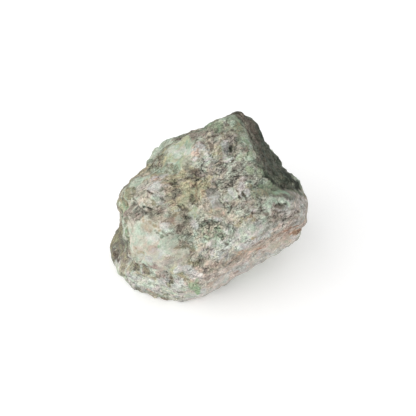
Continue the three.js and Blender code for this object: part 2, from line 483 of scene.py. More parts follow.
@dataclass(frozen=True)
class Pits:
    """Small round pits, one at most in each cell of a jittered grid.

    The share is how many cells have a pit, and least is the smallest pit's size as a share of the largest.
    """

    spacing: float
    radius: float
    depth: float
    share: float
    seed: int
    jitter: float = 0.8
    least: float = 0.4

    def sink(self, points: np.ndarray) -> np.ndarray:
        """How deep each point lies in a pit: depth × (1 - (distance / radius)²)², and 0 outside.

        Args:
            points: in millimetres.

        Returns:
            One depth per point.
        """
        scaled = points / self.spacing
        size_seed = 3 * self.seed + 3
        deepest = np.zeros(len(points))
        for cell in cells_around(scaled):
            centre = cell + 0.5 + self.jitter * RockNoise.vector(cell, self.seed)
            size = self.least + (1.0 - self.least) * RockNoise.value(cell, size_seed)
            chosen = RockNoise.value(cell, size_seed + 1) < self.share
            away = np.linalg.norm(scaled - centre, axis=1) / (self.radius / self.spacing * size)
            bowl = np.where(chosen, np.maximum(1.0 - away * away, 0.0) ** 2, 0.0)
            deepest = np.maximum(deepest, self.depth * size * bowl)
        return deepest


@dataclass(frozen=True)
class Seams:
    """Fine winding grooves: they follow the lines where a noise passes through zero.

    The gaps are the edges of the S-curve that breaks the grooves up, over a noise of its own.
    """

    wavelength: float
    width: float
    depth: float
    seed: int
    octaves: int = 3
    gaps: tuple[float, float] = (-0.1, 0.35)
    gap_wavelengths: float = 1.3
    gap_octaves: int = 2
    gap_seed: int = 9

    def sink(self, points: np.ndarray) -> np.ndarray:
        """How deep each point lies in a groove: depth × exp(-(noise / width)²), broken up by more noise.

        Args:
            points: in millimetres.

        Returns:
            One depth per point.
        """
        level = RockNoise.rough(points, self.wavelength, self.octaves, self.seed) / self.width
        spacing, seed = self.gap_wavelengths * self.wavelength, self.seed + self.gap_seed
        broken = smooth_step(RockNoise.rough(points, spacing, self.gap_octaves, seed), *self.gaps)
        return self.depth * broken * np.exp(-level * level)


@dataclass(frozen=True)
class FineRelief:
    """The small relief that lies over the main form: fine chips, grooves, pits and grit.

    Calm ground loses the shares calmed_chips of its chips and grit and calmed_cuts of its grooves and pits.
    """

    chips: tuple[Chips, ...] = (Chips(3.2, 0.26, 11, 14.0), Chips(1.5, 0.22, 12, 14.0))
    seams: tuple[Seams, ...] = (Seams(7.0, 0.05, 0.5, 41), Seams(3.4, 0.06, 0.25, 51))
    pits: tuple[Pits, ...] = (Pits(5.0, 1.1, 0.7, 0.4, 61), Pits(2.6, 0.6, 0.35, 0.4, 71))
    grit_wavelength: float = 1.6
    grit_height: float = 0.07
    grit_octaves: int = 2
    grit_seed: int = 81
    wander_wavelength: float = 2.6
    wander: float = 0.5
    wander_seed: int = 91
    calmed_chips: float = 0.6
    calmed_cuts: float = 0.75

    def height(self, points: np.ndarray, calm: np.ndarray) -> np.ndarray:
        """The small relief's height at each point.

        Args:
            points: on the main form, about the heart.
            calm: from 0 where the ground is broken to 1 where it is smooth.

        Returns:
            One height per point, in millimetres.
        """
        aside = RockNoise.wandered(points, self.wander_wavelength, self.wander, self.wander_seed)
        grit = RockNoise.rough(points, self.grit_wavelength, self.grit_octaves, self.grit_seed)
        broken = sum(chips.rise(aside) for chips in self.chips) + self.grit_height * grit
        cut = sum(seam.sink(points) for seam in self.seams) + sum(pit.sink(aside) for pit in self.pits)
        return (1.0 - self.calmed_chips * calm) * broken - (1.0 - self.calmed_cuts * calm) * cut


# ---- Colours and where they lie ----


class Tint(Enum):
    """The stone's colours, as display values from 0 to 255."""

    WHITE = (209, 208, 202)
    LILAC_WHITE = (196, 194, 191)
    PINK_WHITE = (204, 196, 187)
    CREAM = (201, 197, 183)
    PALE_GREEN = (190, 198, 183)
    MINT = (173, 185, 168)
    SAGE = (154, 169, 142)
    SEA_GREEN = (148, 168, 148)
    LEAF_GREEN = (142, 174, 138)
    GREY_GREEN = (138, 145, 127)
    MOSS = (114, 121, 103)
    DEEP_GREEN = (84, 92, 80)
    BLACK_GREEN = (52, 58, 48)
    BLACK = (36, 40, 33)
    SALMON = (205, 174, 152)
    ROSE = (194, 178, 164)
    ROSE_GREY = (168, 156, 147)
    ROSE_BROWN = (166, 146, 132)
    RUST = (156, 112, 86)
    APRICOT = (208, 180, 148)
    BUFF = (182, 177, 159)
    STRAW = (182, 177, 146)
    STRAW_GREEN = (179, 183, 155)
    TAN = (168, 154, 128)
    OLIVE = (156, 152, 126)
    OLIVE_BROWN = (134, 130, 108)
    DARK_OLIVE = (94, 93, 80)
    LILAC_GREY = (166, 161, 153)
    GREY = (150, 149, 138)
    TAUPE = (142, 135, 122)
    DARK_TAUPE = (112, 105, 94)
    STONE_GREY = (124, 120, 109)
    SLATE = (102, 104, 95)
    BROWN = (104, 96, 86)
    UMBER = (82, 74, 64)

    def linear(self) -> tuple[float, float, float]:
        """The colour in linear light, by the usual display curve."""
        shares = (channel / 255.0 for channel in self.value)
        return tuple(s / 12.92 if s <= 0.04045 else ((s + 0.055) / 1.055) ** 2.4 for s in shares)

    def rgba(self) -> tuple[float, float, float, float]:
        """The colour in linear light as a node takes it."""
        return (*self.linear(), 1.0)


@dataclass(frozen=True)
class CalmPlace:
    """Smooth ground along a line, with little grain and relief. The share says how smooth it is."""

    name: str
    line: Line
    width: float
    share: float
    ragged: float = 0.3


@dataclass(frozen=True)
class Patch:
    """A patch of one or two colours along a line, with a ragged edge.

    The line and the width say where it lies, and the share how strongly it covers. Where a second tint
    is given, the two lie mixed in flecks of the stated size. The veins say how strongly thin dark veins
    run through the patch. Sizes are in millimetres.
    """

    name: str
    tint: Tint
    line: Line
    width: float
    share: float = 0.85
    ragged: float = 0.8
    fleck: Tint | None = None
    fleck_size: float = 3.0
    veins: float = 0.3


def patches(*rows: tuple) -> tuple[Patch, ...]:
    """Patches from rows of values, each row in the order of a patch's own fields."""
    return tuple(Patch(*row) for row in rows)


# Broad grounds, laid first: each is a kind of rock or turquoise that fills one part of the stone.
GROUNDS = patches(
    ("crest", Tint.TAUPE, ((152, 42), (126, 50), (100, 64), (84, 66)),
     6.0, 0.9, 0.7, Tint.GREY_GREEN, 2.5, 0.5),
    ("peak", Tint.GREY_GREEN, ((84, 60), (62, 62), (42, 64), (28, 65)), 6.0, 0.9, 0.7, Tint.MINT, 3.0, 0.4),
    ("hole ground", Tint.LILAC_GREY, ((70, 74), (30, 76), (-12, 74), (-30, 72)),
     5.5, 0.8, 0.7, Tint.BUFF, 2.0, 0.5),
    ("pole", Tint.LILAC_GREY, ((-60, 80), (-80, 74), (-60, 68)), 5.0, 0.8, 0.9, Tint.BUFF, 2.0, 0.55),
    ("grey ground", Tint.GREY, ((-50, 70), (-42, 62), (-36, 54), (-34, 47)),
     7.5, 0.85, 0.8, Tint.PALE_GREEN, 2.0, 0.6),
    ("left edge", Tint.OLIVE, ((-171, 14), (-173, 26), (-178, 38), (170, 42)),
     5.0, 0.85, 0.7, Tint.MINT, 2.5),
    ("block", Tint.CREAM, ((-160, 34), (-152, 42), (-142, 42)), 7.0, 0.85, 0.8, Tint.PINK_WHITE, 2.5, 0.4),
    ("tan middle", Tint.TAN, ((-140, 56), (-122, 52), (-106, 56), (-96, 54)),
     7.0, 0.85, 0.8, Tint.STRAW, 2.0, 0.5),
    ("right middle", Tint.BUFF, ((-92, 44), (-78, 46), (-64, 46)), 7.0, 0.85, 0.8, Tint.CREAM, 2.0, 0.4),
    ("below the crack", Tint.TAN, ((-148, 27), (-134, 30), (-120, 31), (-110, 22)),
     4.5, 0.8, 0.9, Tint.CREAM, 2.0, 0.5),
    ("bulge", Tint.PALE_GREEN, ((-144, 16), (-132, 16), (-120, 10)), 10.0, 0.95, 0.5, Tint.CREAM, 3.5, 0.1),
    # The heel lies behind the bulge: its grey is partly its own colour and partly painted shade.
    ("heel", Tint.STONE_GREY, ((-178, -26), (-170, -18), (-164, -24)),
     7.0, 0.95, 0.5, Tint.OLIVE_BROWN, 3.0, 0.5),
    ("heel's far side", Tint.STONE_GREY, ((180, -30), (-176, -28)), 3.5, 0.9, 0.6, Tint.OLIVE),
    ("toe", Tint.LILAC_WHITE, ((-152, -30), (-136, -24), (-120, -22), (-104, -20)),
     8.0, 0.85, 0.8, Tint.PALE_GREEN, 4.0, 0.25),
    ("specked ground", Tint.GREY, ((-102, 24), (-88, 26), (-72, 26)),
     6.0, 0.8, 0.8, Tint.PALE_GREEN, 1.8, 0.7),
    ("streaked ground", Tint.GREY, ((-56, 38), (-46, 36), (-36, 30)),
     6.0, 0.8, 0.9, Tint.PALE_GREEN, 1.8, 0.6),
    ("pale lower middle", Tint.PALE_GREEN, ((-98, 12), (-84, 12), (-72, 14)),
     7.0, 0.85, 0.9, Tint.BUFF, 2.0, 0.4),
    ("white slope", Tint.PALE_GREEN, ((-70, 18), (-58, 18), (-46, 14), (-38, 13)),
     6.0, 0.9, 0.6, Tint.WHITE, 2.0, 0.4),
    ("corner by the band", Tint.BUFF, ((-114, 4), (-102, 0), (-94, -3)),
     5.5, 0.8, 0.9, Tint.LILAC_GREY, 2.5, 0.4),
    ("slope", Tint.LILAC_GREY, ((-44, 25), (-36, 20), (-26, 14)), 5.5, 0.8, 0.8, Tint.TAUPE, 2.0, 0.5),
    ("right lobe", Tint.LILAC_GREY, ((-22, 22), (-14, 16), (-12, 6)), 7.0, 0.85, 0.8, Tint.LILAC_WHITE, 2.0),
    ("band", Tint.ROSE, ((-92, -8), (-78, -8), (-64, -4), (-52, -1), (-40, 1), (-26, 2), (-16, 0)),
     6.5, 0.9, 0.6, Tint.ROSE_GREY, 2.0, 0.4),
    ("band's lower side", Tint.PINK_WHITE, ((-92, -24), (-76, -22), (-60, -16), (-44, -8), (-30, -6)),
     5.5, 0.9, 0.5, Tint.ROSE, 2.5, 0.5),
    ("under the band", Tint.PINK_WHITE, ((-104, -42), (-80, -38), (-60, -30), (-40, -20), (-22, -12)),
     7.0, 0.9, 0.5, Tint.LILAC_WHITE, 3.5),
    # The dark face at the upper right is dark partly in its own colour and partly in painted shade, as it
    # faces away from the key light.
    ("dark face", Tint.DARK_OLIVE, ((56, 44), (40, 42), (24, 40), (8, 38), (-4, 36)),
     10.0, 1.0, 0.25, Tint.SLATE, 3.0, 0.55),
)

CREST_AND_SCOOP = patches(
    ("scoop", Tint.PALE_GREEN, ((150, 54), (140, 57), (132, 62), (150, 68), (164, 64), (-178, 66)),
     3.9, 0.95, 0.35, Tint.STRAW_GREEN, 2.5, 0.12),
    # The scoop's pale middle is partly the stone's own white and partly a painted highlight.
    ("scoop's pale middle", Tint.WHITE, ((150, 60), (142, 66), (153, 76)),
     1.6, 0.7, 0.8, Tint.PALE_GREEN, 1.8, 0.05),
    # The rims along the upper left corner and the crest are painted shade, where the surface turns away.
    ("corner's rim", Tint.STONE_GREY, ((133, 26), (131, 34), (130, 42), (126, 50), (118, 55)),
     0.8, 0.85, 0.5),
    ("crest's rim", Tint.MOSS, ((106, 59), (92, 66), (81, 66), (74, 62), (66, 56)), 0.9, 0.75, 0.5),
    ("corner's brown", Tint.OLIVE_BROWN, ((154, 36), (160, 34), (159, 40), (160, 44)),
     2.7, 0.9, 0.7, Tint.TAUPE, 1.5, 0.7),
    ("corner's dark spot", Tint.UMBER, ((139, 29), (146, 38)), 0.7, 0.85, 0.5),
    ("corner's pale spot", Tint.LILAC_GREY, ((136, 27),), 0.9, 0.85, 0.6),
    ("corner's green edge", Tint.MINT, ((138, 23), (142, 24)), 0.8, 0.8, 0.6),
    ("tan border", Tint.GREY_GREEN, ((133, 34), (148, 48), (158, 48), (166, 50)),
     1.2, 0.9, 0.6, Tint.STRAW, 1.8),
    ("scoop's green end", Tint.SEA_GREEN, ((129, 64), (134, 68)), 1.0, 0.8, 0.7, None, 3.0, 0.2),
    ("scoop's green foot", Tint.SEA_GREEN, ((164, 65), (178, 64), (-168, 65)),
     1.1, 0.75, 0.7, None, 3.0, 0.2),
    ("scoop's olive smear", Tint.BUFF, ((-178, 72), (170, 76)), 1.6, 0.7, 0.9, None, 3.0, 0.2),
    ("knob", Tint.OLIVE_BROWN, ((177, 56), (180, 59), (-172, 61)), 1.3, 0.8, 0.7, Tint.GREY_GREEN, 1.5, 0.7),
    ("green below the knob", Tint.MINT, ((178, 46), (176, 50), (-172, 49)),
     1.5, 0.85, 0.7, Tint.GREY_GREEN, 1.6, 0.4),
    ("rosy ground past the scoop", Tint.ROSE, ((144, 78), (150, 82), (179, 82)),
     2.0, 0.85, 0.9, Tint.LILAC_WHITE, 2.0),
    ("white ground past the scoop", Tint.LILAC_WHITE, ((124, 80), (108, 83)), 1.6, 0.85, 0.6, Tint.ROSE, 1.8),
    ("white ground at the top", Tint.LILAC_WHITE, ((-65, 88), (-70, 84), (-54, 83)),
     2.4, 0.9, 0.6, Tint.PALE_GREEN, 1.8, 0.4),
    ("taupe crest", Tint.ROSE_GREY, ((113, 63), (112, 69), (102, 71)), 1.8, 0.85, 0.8, Tint.TAUPE, 1.5, 0.6),
    ("crest's second ground", Tint.GREY, ((98, 76), (78, 78), (48, 78)), 2.2, 0.85, 0.8, Tint.BUFF, 1.6, 0.5),
    ("crest's dark spot", Tint.UMBER, ((117, 74),), 0.8, 0.85, 0.5),
    ("crest's second dark spot", Tint.UMBER, ((88, 77),), 0.7, 0.8, 0.6),
    ("crest's third dark spot", Tint.UMBER, ((68, 75),), 0.7, 0.8, 0.6),
    ("crest's green", Tint.SAGE, ((86, 66), (70, 69), (60, 72)), 2.0, 0.9, 0.7, Tint.GREY_GREEN, 1.8, 0.4),
    ("fold", Tint.BROWN, ((91, 79), (74, 82), (36, 85), (-12, 83)), 0.55, 0.8, 0.7),
    ("buff beside the fold", Tint.STRAW, ((10, 80), (2, 81), (-20, 80)), 2.0, 0.85, 0.6, Tint.BUFF, 1.8, 0.4),
    ("notch at the top", Tint.UMBER, ((40, 77), (30, 78), (20, 78)), 0.6, 0.8, 0.6),
    ("peak's mint", Tint.MINT, ((56, 61), (46, 62)), 1.9, 0.85, 0.7, Tint.SAGE, 1.8, 0.1),
    ("peak's olive", Tint.OLIVE, ((42, 64), (34, 67), (40, 66)), 1.6, 0.85, 0.7, Tint.GREY_GREEN, 1.6, 0.5),
    ("peak's dark curve", Tint.BROWN, ((44, 71), (42, 69), (31, 70), (27, 67)), 0.45, 0.8, 0.6),
    ("peak's dark line", Tint.BROWN, ((61, 65), (56, 68), (50, 70)), 0.35, 0.8, 0.6),
    ("brown line below the peak", Tint.OLIVE_BROWN, ((54, 73), (42, 76), (26, 78)),
     0.8, 0.85, 0.8, Tint.UMBER, 1.2, 0.5),
    ("peak's moss", Tint.OLIVE_BROWN, ((50, 74), (40, 74)), 1.3, 0.8, 0.9, Tint.TAUPE, 1.5, 0.7),
    # The peak's rim is painted shade, where the surface turns away.
    ("peak's rim", Tint.STONE_GREY, ((84, 59), (72, 57), (60, 55)), 0.7, 0.8, 0.5),
)

HOLE_AND_GREY_GROUND = patches(
    ("stone round the hole", Tint.LILAC_WHITE, ((20, 76), (0, 76), (-20, 74)),
     1.8, 0.9, 0.6, Tint.PALE_GREEN, 2.0, 0.2),
    ("hole", Tint.BLACK_GREEN, ((17, 73), (8, 72)), 0.6, 0.9, 0.4),
    ("hole's long line", Tint.UMBER, ((25, 70), (6, 70), (-10, 69), (-27, 70)), 0.5, 0.9, 0.6),
    ("hole's short line", Tint.STONE_GREY, ((4, 74), (-10, 74), (-22, 73)), 0.5, 0.8, 0.6),
    ("stone right of the hole", Tint.GREY, ((4, 69), (-6, 67)), 1.2, 0.85, 0.8, Tint.TAUPE, 1.5, 0.5),
    ("lilac spot below the hole", Tint.LILAC_GREY, ((-32, 68),), 0.6, 0.8, 0.5),
    ("green column", Tint.SAGE, ((18, 63), (10, 62), (-4, 62), (-16, 61)), 1.6, 0.9, 0.6, Tint.MINT, 1.8),
    ("column's white spot", Tint.LILAC_WHITE, ((6, 61),), 0.7, 0.8, 0.6),
    ("mint spot below the hole", Tint.SAGE, ((-16, 66), (-22, 67)), 1.1, 0.8, 0.6, Tint.MINT, 1.5, 0.2),
    ("rosy grey ground", Tint.LILAC_GREY, ((-76, 70), (-66, 76), (-60, 70)),
     2.8, 0.85, 0.7, Tint.BUFF, 1.6, 0.5),
    ("white below the pole", Tint.LILAC_GREY, ((-55, 70), (-44, 67)), 0.9, 0.7, 0.8, Tint.GREY, 1.6, 0.5),
    ("brown marks", Tint.BROWN, ((-45, 76), (-56, 77)), 0.7, 0.8, 0.9),
    ("dark strokes", Tint.BROWN, ((-80, 76), (-76, 72)), 0.5),
    ("second dark strokes", Tint.BROWN, ((-77, 65), (-74, 61)), 0.5),
    ("dark hollow", Tint.STONE_GREY, ((-40, 64), (-47, 60), (-56, 58)), 1.5, 0.85, 0.9, Tint.GREY, 1.6, 0.9),
    ("green spot by the facet", Tint.SAGE, ((-26, 55), (-27, 58)), 1.2, 0.85, 0.7),
    ("second green spot by the facet", Tint.SAGE, ((-23, 51), (-18, 51)),
     1.1, 0.85, 0.8, Tint.GREY_GREEN, 1.6, 0.4),
    ("pale cloud", Tint.LILAC_GREY, ((-41, 54), (-45, 52)), 1.5, 0.85, 0.8, Tint.LILAC_WHITE, 2.0, 0.4),
    ("mint cloud", Tint.PALE_GREEN, ((-54, 53), (-57, 51), (-61, 49)),
     1.9, 0.9, 0.7, Tint.LILAC_WHITE, 2.0, 0.2),
    ("grey cloud", Tint.GREY, ((-37, 48), (-35, 51)), 1.8, 0.85, 0.8, Tint.PALE_GREEN, 1.8, 0.8),
    ("grey blob", Tint.GREY_GREEN, ((-39, 47), (-41, 44), (-42, 42)), 2.0, 0.85, 0.7, Tint.OLIVE, 2.0),
    ("blob's dark side", Tint.STONE_GREY, ((-36, 43), (-39, 42), (-44, 40)), 0.5, 0.85, 0.7),
    ("white streaks", Tint.LILAC_WHITE, ((-43, 48), (-45, 44), (-47, 41)), 0.6, 0.9, 0.6),
    ("second white streak", Tint.LILAC_WHITE, ((-48, 49), (-50, 45)), 0.5, 0.9, 0.7),
    ("dark streaks", Tint.UMBER, ((-45, 51), (-47, 46), (-49, 40)), 0.45, 0.95, 0.5),
    ("second dark streak", Tint.UMBER, ((-49, 51), (-52, 45), (-54, 39)), 0.45, 0.95, 0.5),
    ("taupe beside the streaks", Tint.TAUPE, ((-62, 41), (-56, 41), (-45, 40)),
     1.3, 0.75, 0.8, Tint.LILAC_GREY, 1.4, 0.6),
)

LEFT_BLOCK = patches(
    ("left ridge", Tint.MINT, ((-172, 22), (-175, 28), (-178, 31), (172, 34)),
     2.2, 0.9, 0.6, Tint.PALE_GREEN, 2.5, 0.1),
    ("ridge's foot line", Tint.STONE_GREY, ((166, 36), (-178, 38), (-172, 42)), 0.4, 0.75, 0.6),
    ("block's rosy top", Tint.LILAC_WHITE, ((-171, 43), (-165, 45), (-158, 46)),
     1.9, 0.85, 0.6, Tint.ROSE, 1.8, 0.35),
    ("block's reddish spot", Tint.ROSE_BROWN, ((-165, 45),), 0.7, 0.85, 0.7),
    ("block's white top", Tint.WHITE, ((-171, 49), (-164, 50)), 1.2, 0.85, 0.7, Tint.LILAC_WHITE, 1.6, 0.2),
    ("block's dark spot", Tint.UMBER, ((-145, 54), (-144, 52)), 0.6, 0.85, 0.6),
    ("block's brown back", Tint.TAUPE, ((-141, 50), (-139, 47)), 1.1, 0.85, 0.8, Tint.BUFF, 1.4, 0.8),
    ("block's white face", Tint.LILAC_WHITE, ((-158, 41), (-150, 44), (-146, 47)),
     1.9, 0.9, 0.7, Tint.WHITE, 2.0, 0.2),
    ("block's white foot", Tint.BUFF, ((-148, 36), (-144, 38)), 1.4, 0.8, 0.7, Tint.CREAM, 1.8, 0.4),
    ("block's mint foot", Tint.PALE_GREEN, ((-141, 43), (-138, 40), (-136, 38)),
     1.4, 0.9, 0.5, Tint.WHITE, 1.8, 0.2),
    ("block's slit", Tint.UMBER, ((-153, 40), (-147, 40), (-144, 41)), 0.6, 0.9, 0.5),
    ("block's green slit", Tint.MOSS, ((-143, 43), (-144, 45), (-144, 47)), 0.45, 0.9, 0.5),
    ("block's rosy side", Tint.ROSE, ((-160, 31), (-160, 34), (-154, 33)),
     1.8, 0.8, 0.7, Tint.BUFF, 1.6, 0.5),
    ("block's pale under side", Tint.CREAM, ((-145, 34), (-140, 35), (-134, 36)),
     1.2, 0.85, 0.7, Tint.OLIVE, 1.6),
    ("left end", Tint.OLIVE, ((-171, 24), (-168, 22)), 1.8, 0.85, 0.8, Tint.SAGE, 2.0, 0.4),
    ("left end's dark curve", Tint.OLIVE_BROWN, ((-171, 27), (-166, 27), (-162, 25)), 0.6, 0.85, 0.6),
    ("left end's dark edge", Tint.STONE_GREY, ((-173, 19), (-174, 13)), 0.6, 0.85, 0.7),
    ("left end's pale side", Tint.SAGE, ((-172, 8), (-164, 14), (-156, 12)),
     1.9, 0.9, 0.8, Tint.OLIVE, 2.0, 0.4),
    ("left end's dark line", Tint.DEEP_GREEN, ((-173, 5), (-169, 3), (-162, -1)), 0.45, 0.85, 0.7),
    ("taupe by the crack", Tint.ROSE_GREY, ((-159, 20), (-154, 20), (-148, 22), (-143, 22)),
     1.6, 0.9, 0.7, Tint.TAUPE, 1.5, 0.7),
    # Along the crack: the dark below it, the crack and its black end are partly dark rock and partly a
    # painted shadow under the block's overhang.
    ("dark below the crack", Tint.STONE_GREY, ((-149, 26), (-144, 27), (-139, 29)),
     1.5, 0.95, 0.6, Tint.GREY, 1.6, 0.7),
    ("crack", Tint.BROWN, ((-161, 24), (-156, 26), (-149, 29)), 0.4, 0.9, 0.4),
    ("crack's black end", Tint.BLACK_GREEN, ((-143, 31), (-140, 32), (-136, 32)), 0.38, 0.95, 0.3),
    ("brown below the crack", Tint.TAUPE, ((-131, 30), (-126, 30), (-121, 31)),
     1.8, 0.85, 0.8, Tint.ROSE_GREY, 1.5, 0.6),
    ("rosy spot below the crack", Tint.ROSE_BROWN, ((-122, 31), (-119, 31)), 0.9, 0.8),
)

TAN_MIDDLE = patches(
    ("crevice's taupe side", Tint.LILAC_GREY, ((-130, 72), (-120, 75), (-106, 74)),
     1.6, 0.85, 0.8, Tint.TAUPE, 1.4, 0.7),
    ("crevice's brown side", Tint.ROSE_BROWN, ((-140, 71), (-136, 74)),
     1.1, 0.85, 0.8, Tint.BROWN, 1.4, 0.55),
    ("crevice", Tint.BROWN, ((-140, 63), (-128, 66), (-118, 68)), 0.8, 0.8, 0.9, Tint.TAUPE, 1.2, 0.9),
    ("crevice's black line", Tint.BLACK_GREEN, ((-139, 63), (-132, 64)), 0.4, 0.8),
    ("rust beside the crevice", Tint.RUST, ((-104, 67), (-100, 64)), 0.8, 0.6, 0.9),
    ("tan below the crevice", Tint.BUFF, ((-142, 57), (-136, 60), (-122, 62)),
     1.8, 0.85, 0.6, Tint.STRAW, 2.0, 0.5),
    ("straw below the crevice", Tint.STRAW, ((-114, 62), (-106, 62)), 1.2, 0.8, 0.8, Tint.TAN, 1.6, 0.4),
    ("dark slit in the tan", Tint.UMBER, ((-117, 61), (-114, 58)), 0.3, 0.9, 0.5),
    ("straw hollow", Tint.STRAW_GREEN, ((-115, 52), (-115, 49), (-117, 46)),
     2.2, 0.95, 0.4, Tint.STRAW, 3.0, 0.35),
    ("taupe beside the straw", Tint.TAUPE, ((-131, 52), (-130, 46), (-133, 43)),
     1.7, 0.85, 0.8, Tint.STONE_GREY, 1.6, 0.6),
    ("tan lump", Tint.TAN, ((-103, 57), (-97, 54), (-95, 58)), 2.4, 0.85, 0.7, Tint.STRAW_GREEN, 2.5),
    ("lump's brown side", Tint.OLIVE_BROWN, ((-112, 53), (-110, 48)), 0.7, 0.85, 0.7, Tint.BROWN, 1.2, 0.6),
    ("straw under the pole", Tint.STRAW, ((-102, 64), (-97, 66), (-90, 69)),
     1.6, 0.8, 0.8, Tint.BUFF, 2.0, 0.4),
    ("brown spot", Tint.BROWN, ((-88, 61), (-90, 57), (-89, 51)), 0.6, 0.85, 0.7),
    ("rosy spot by it", Tint.ROSE, ((-80, 61), (-83, 58)), 1.0, 0.8),
    ("lilac hollow", Tint.LILAC_GREY, ((-81, 56), (-80, 52), (-79, 47)),
     2.5, 0.9, 0.5, Tint.LILAC_WHITE, 3.0, 0.1),
    ("grey above the lilac hollow", Tint.STONE_GREY, ((-88, 57), (-83, 58), (-79, 59)),
     0.9, 0.75, 0.8, Tint.ROSE_GREY, 1.4, 0.5),
    ("lilac hollow's edge", Tint.STONE_GREY, ((-67, 52), (-69, 48), (-69, 42)), 0.35, 0.8, 0.7),
    ("pale ground by the lump", Tint.BUFF, ((-92, 51), (-94, 46)), 1.4, 0.85, 0.8, Tint.CREAM, 1.6, 0.4),
    ("brown notch by the lump", Tint.BROWN, ((-94, 46), (-92, 44)), 0.5, 0.8, 0.6),
    ("dark line", Tint.UMBER, ((-121, 43), (-118, 41), (-116, 39)), 0.35, 0.9, 0.4),
    ("second dark line", Tint.UMBER, ((-118, 44), (-115, 42), (-113, 39)), 0.3, 0.85, 0.4),
    ("dark end of the lines", Tint.STONE_GREY, ((-114, 36), (-112, 33)), 0.8, 0.8, 0.8, Tint.BUFF, 1.2, 0.8),
    ("pale ground by the lines", Tint.BUFF, ((-106, 44), (-111, 46)), 1.4, 0.85, 0.8, Tint.CREAM, 1.8),
    ("notch's brown side", Tint.TAUPE, ((-66, 46), (-62, 45)), 0.9, 0.8, 0.8, Tint.BUFF, 1.2, 0.6),
    ("notch", Tint.UMBER, ((-63, 43), (-64, 41), (-67, 39)), 0.6, 0.9, 0.4),
)

# The dark face and the lobe's back: dark partly in the rock's own colours and partly in painted shade; the
# face's black end and the lobe's black back are partly a painted shadow.
DARK_FACE = patches(
    ("face's brown top", Tint.TAUPE, ((54, 53), (44, 54), (36, 55)), 2.4, 0.95, 0.5, Tint.BROWN, 2.0, 0.6),
    ("face's brown middle", Tint.BROWN, ((50, 48), (40, 48), (32, 48)),
     2.4, 0.95, 0.5, Tint.DARK_TAUPE, 2.0, 0.6),
    ("face's grey shoulder", Tint.GREY_GREEN, ((20, 57), (12, 54), (0, 54), (-10, 54)),
     2.2, 0.9, 0.5, Tint.STONE_GREY, 2.0, 0.6),
    ("face's middle", Tint.SLATE, ((18, 47), (8, 46), (-2, 45), (-12, 46)),
     2.6, 0.95, 0.5, Tint.DARK_OLIVE, 2.0, 0.7),
    ("face's dark ground", Tint.DEEP_GREEN, ((34, 42), (24, 40), (14, 38), (4, 37)),
     3.2, 0.9, 0.5, Tint.DARK_OLIVE, 2.0, 0.7),
    ("face's green end", Tint.MOSS, ((-16, 46), (-14, 40), (-9, 35), (-5, 31)),
     1.8, 0.9, 0.6, Tint.DEEP_GREEN, 1.8, 0.6),
    ("face's first streak", Tint.BLACK_GREEN, ((-12, 51), (-17, 48), (-19, 44)), 0.45, 0.85, 0.6),
    ("face's second streak", Tint.BLACK_GREEN, ((0, 42), (-3, 37), (-4, 33)), 0.5, 0.85, 0.6),
    ("face's third streak", Tint.DEEP_GREEN, ((10, 42), (4, 38), (1, 34)), 0.5, 0.85, 0.7),
    ("face's outer ground", Tint.DEEP_GREEN, ((42, 40), (35, 35), (30, 28), (23, 24), (15, 22)),
     2.6, 0.9, 0.5, Tint.BLACK_GREEN, 2.5, 0.6),
    ("face's rim", Tint.BLACK_GREEN, ((39, 38), (36, 35), (33, 30)), 0.8, 0.85, 0.5),
    ("face's black end", Tint.BLACK_GREEN, ((6, 30), (2, 26), (-2, 27)),
     1.9, 0.95, 0.5, Tint.DEEP_GREEN, 2.0, 0.55),
    ("lobe's black back", Tint.BLACK, ((8, 26), (3, 22), (2, 17)),
     2.2, 0.95, 0.6, Tint.BLACK_GREEN, 1.6, 0.6),
    ("lobe's green back", Tint.DEEP_GREEN, ((-6, 25), (-5, 20), (-3, 14)),
     1.3, 0.85, 0.6, Tint.SLATE, 1.6, 0.5),
    ("face's lower edge", Tint.BLACK_GREEN, ((-20, 42), (-15, 35), (-10, 27), (-9, 23)), 0.7, 0.85, 0.6),
)

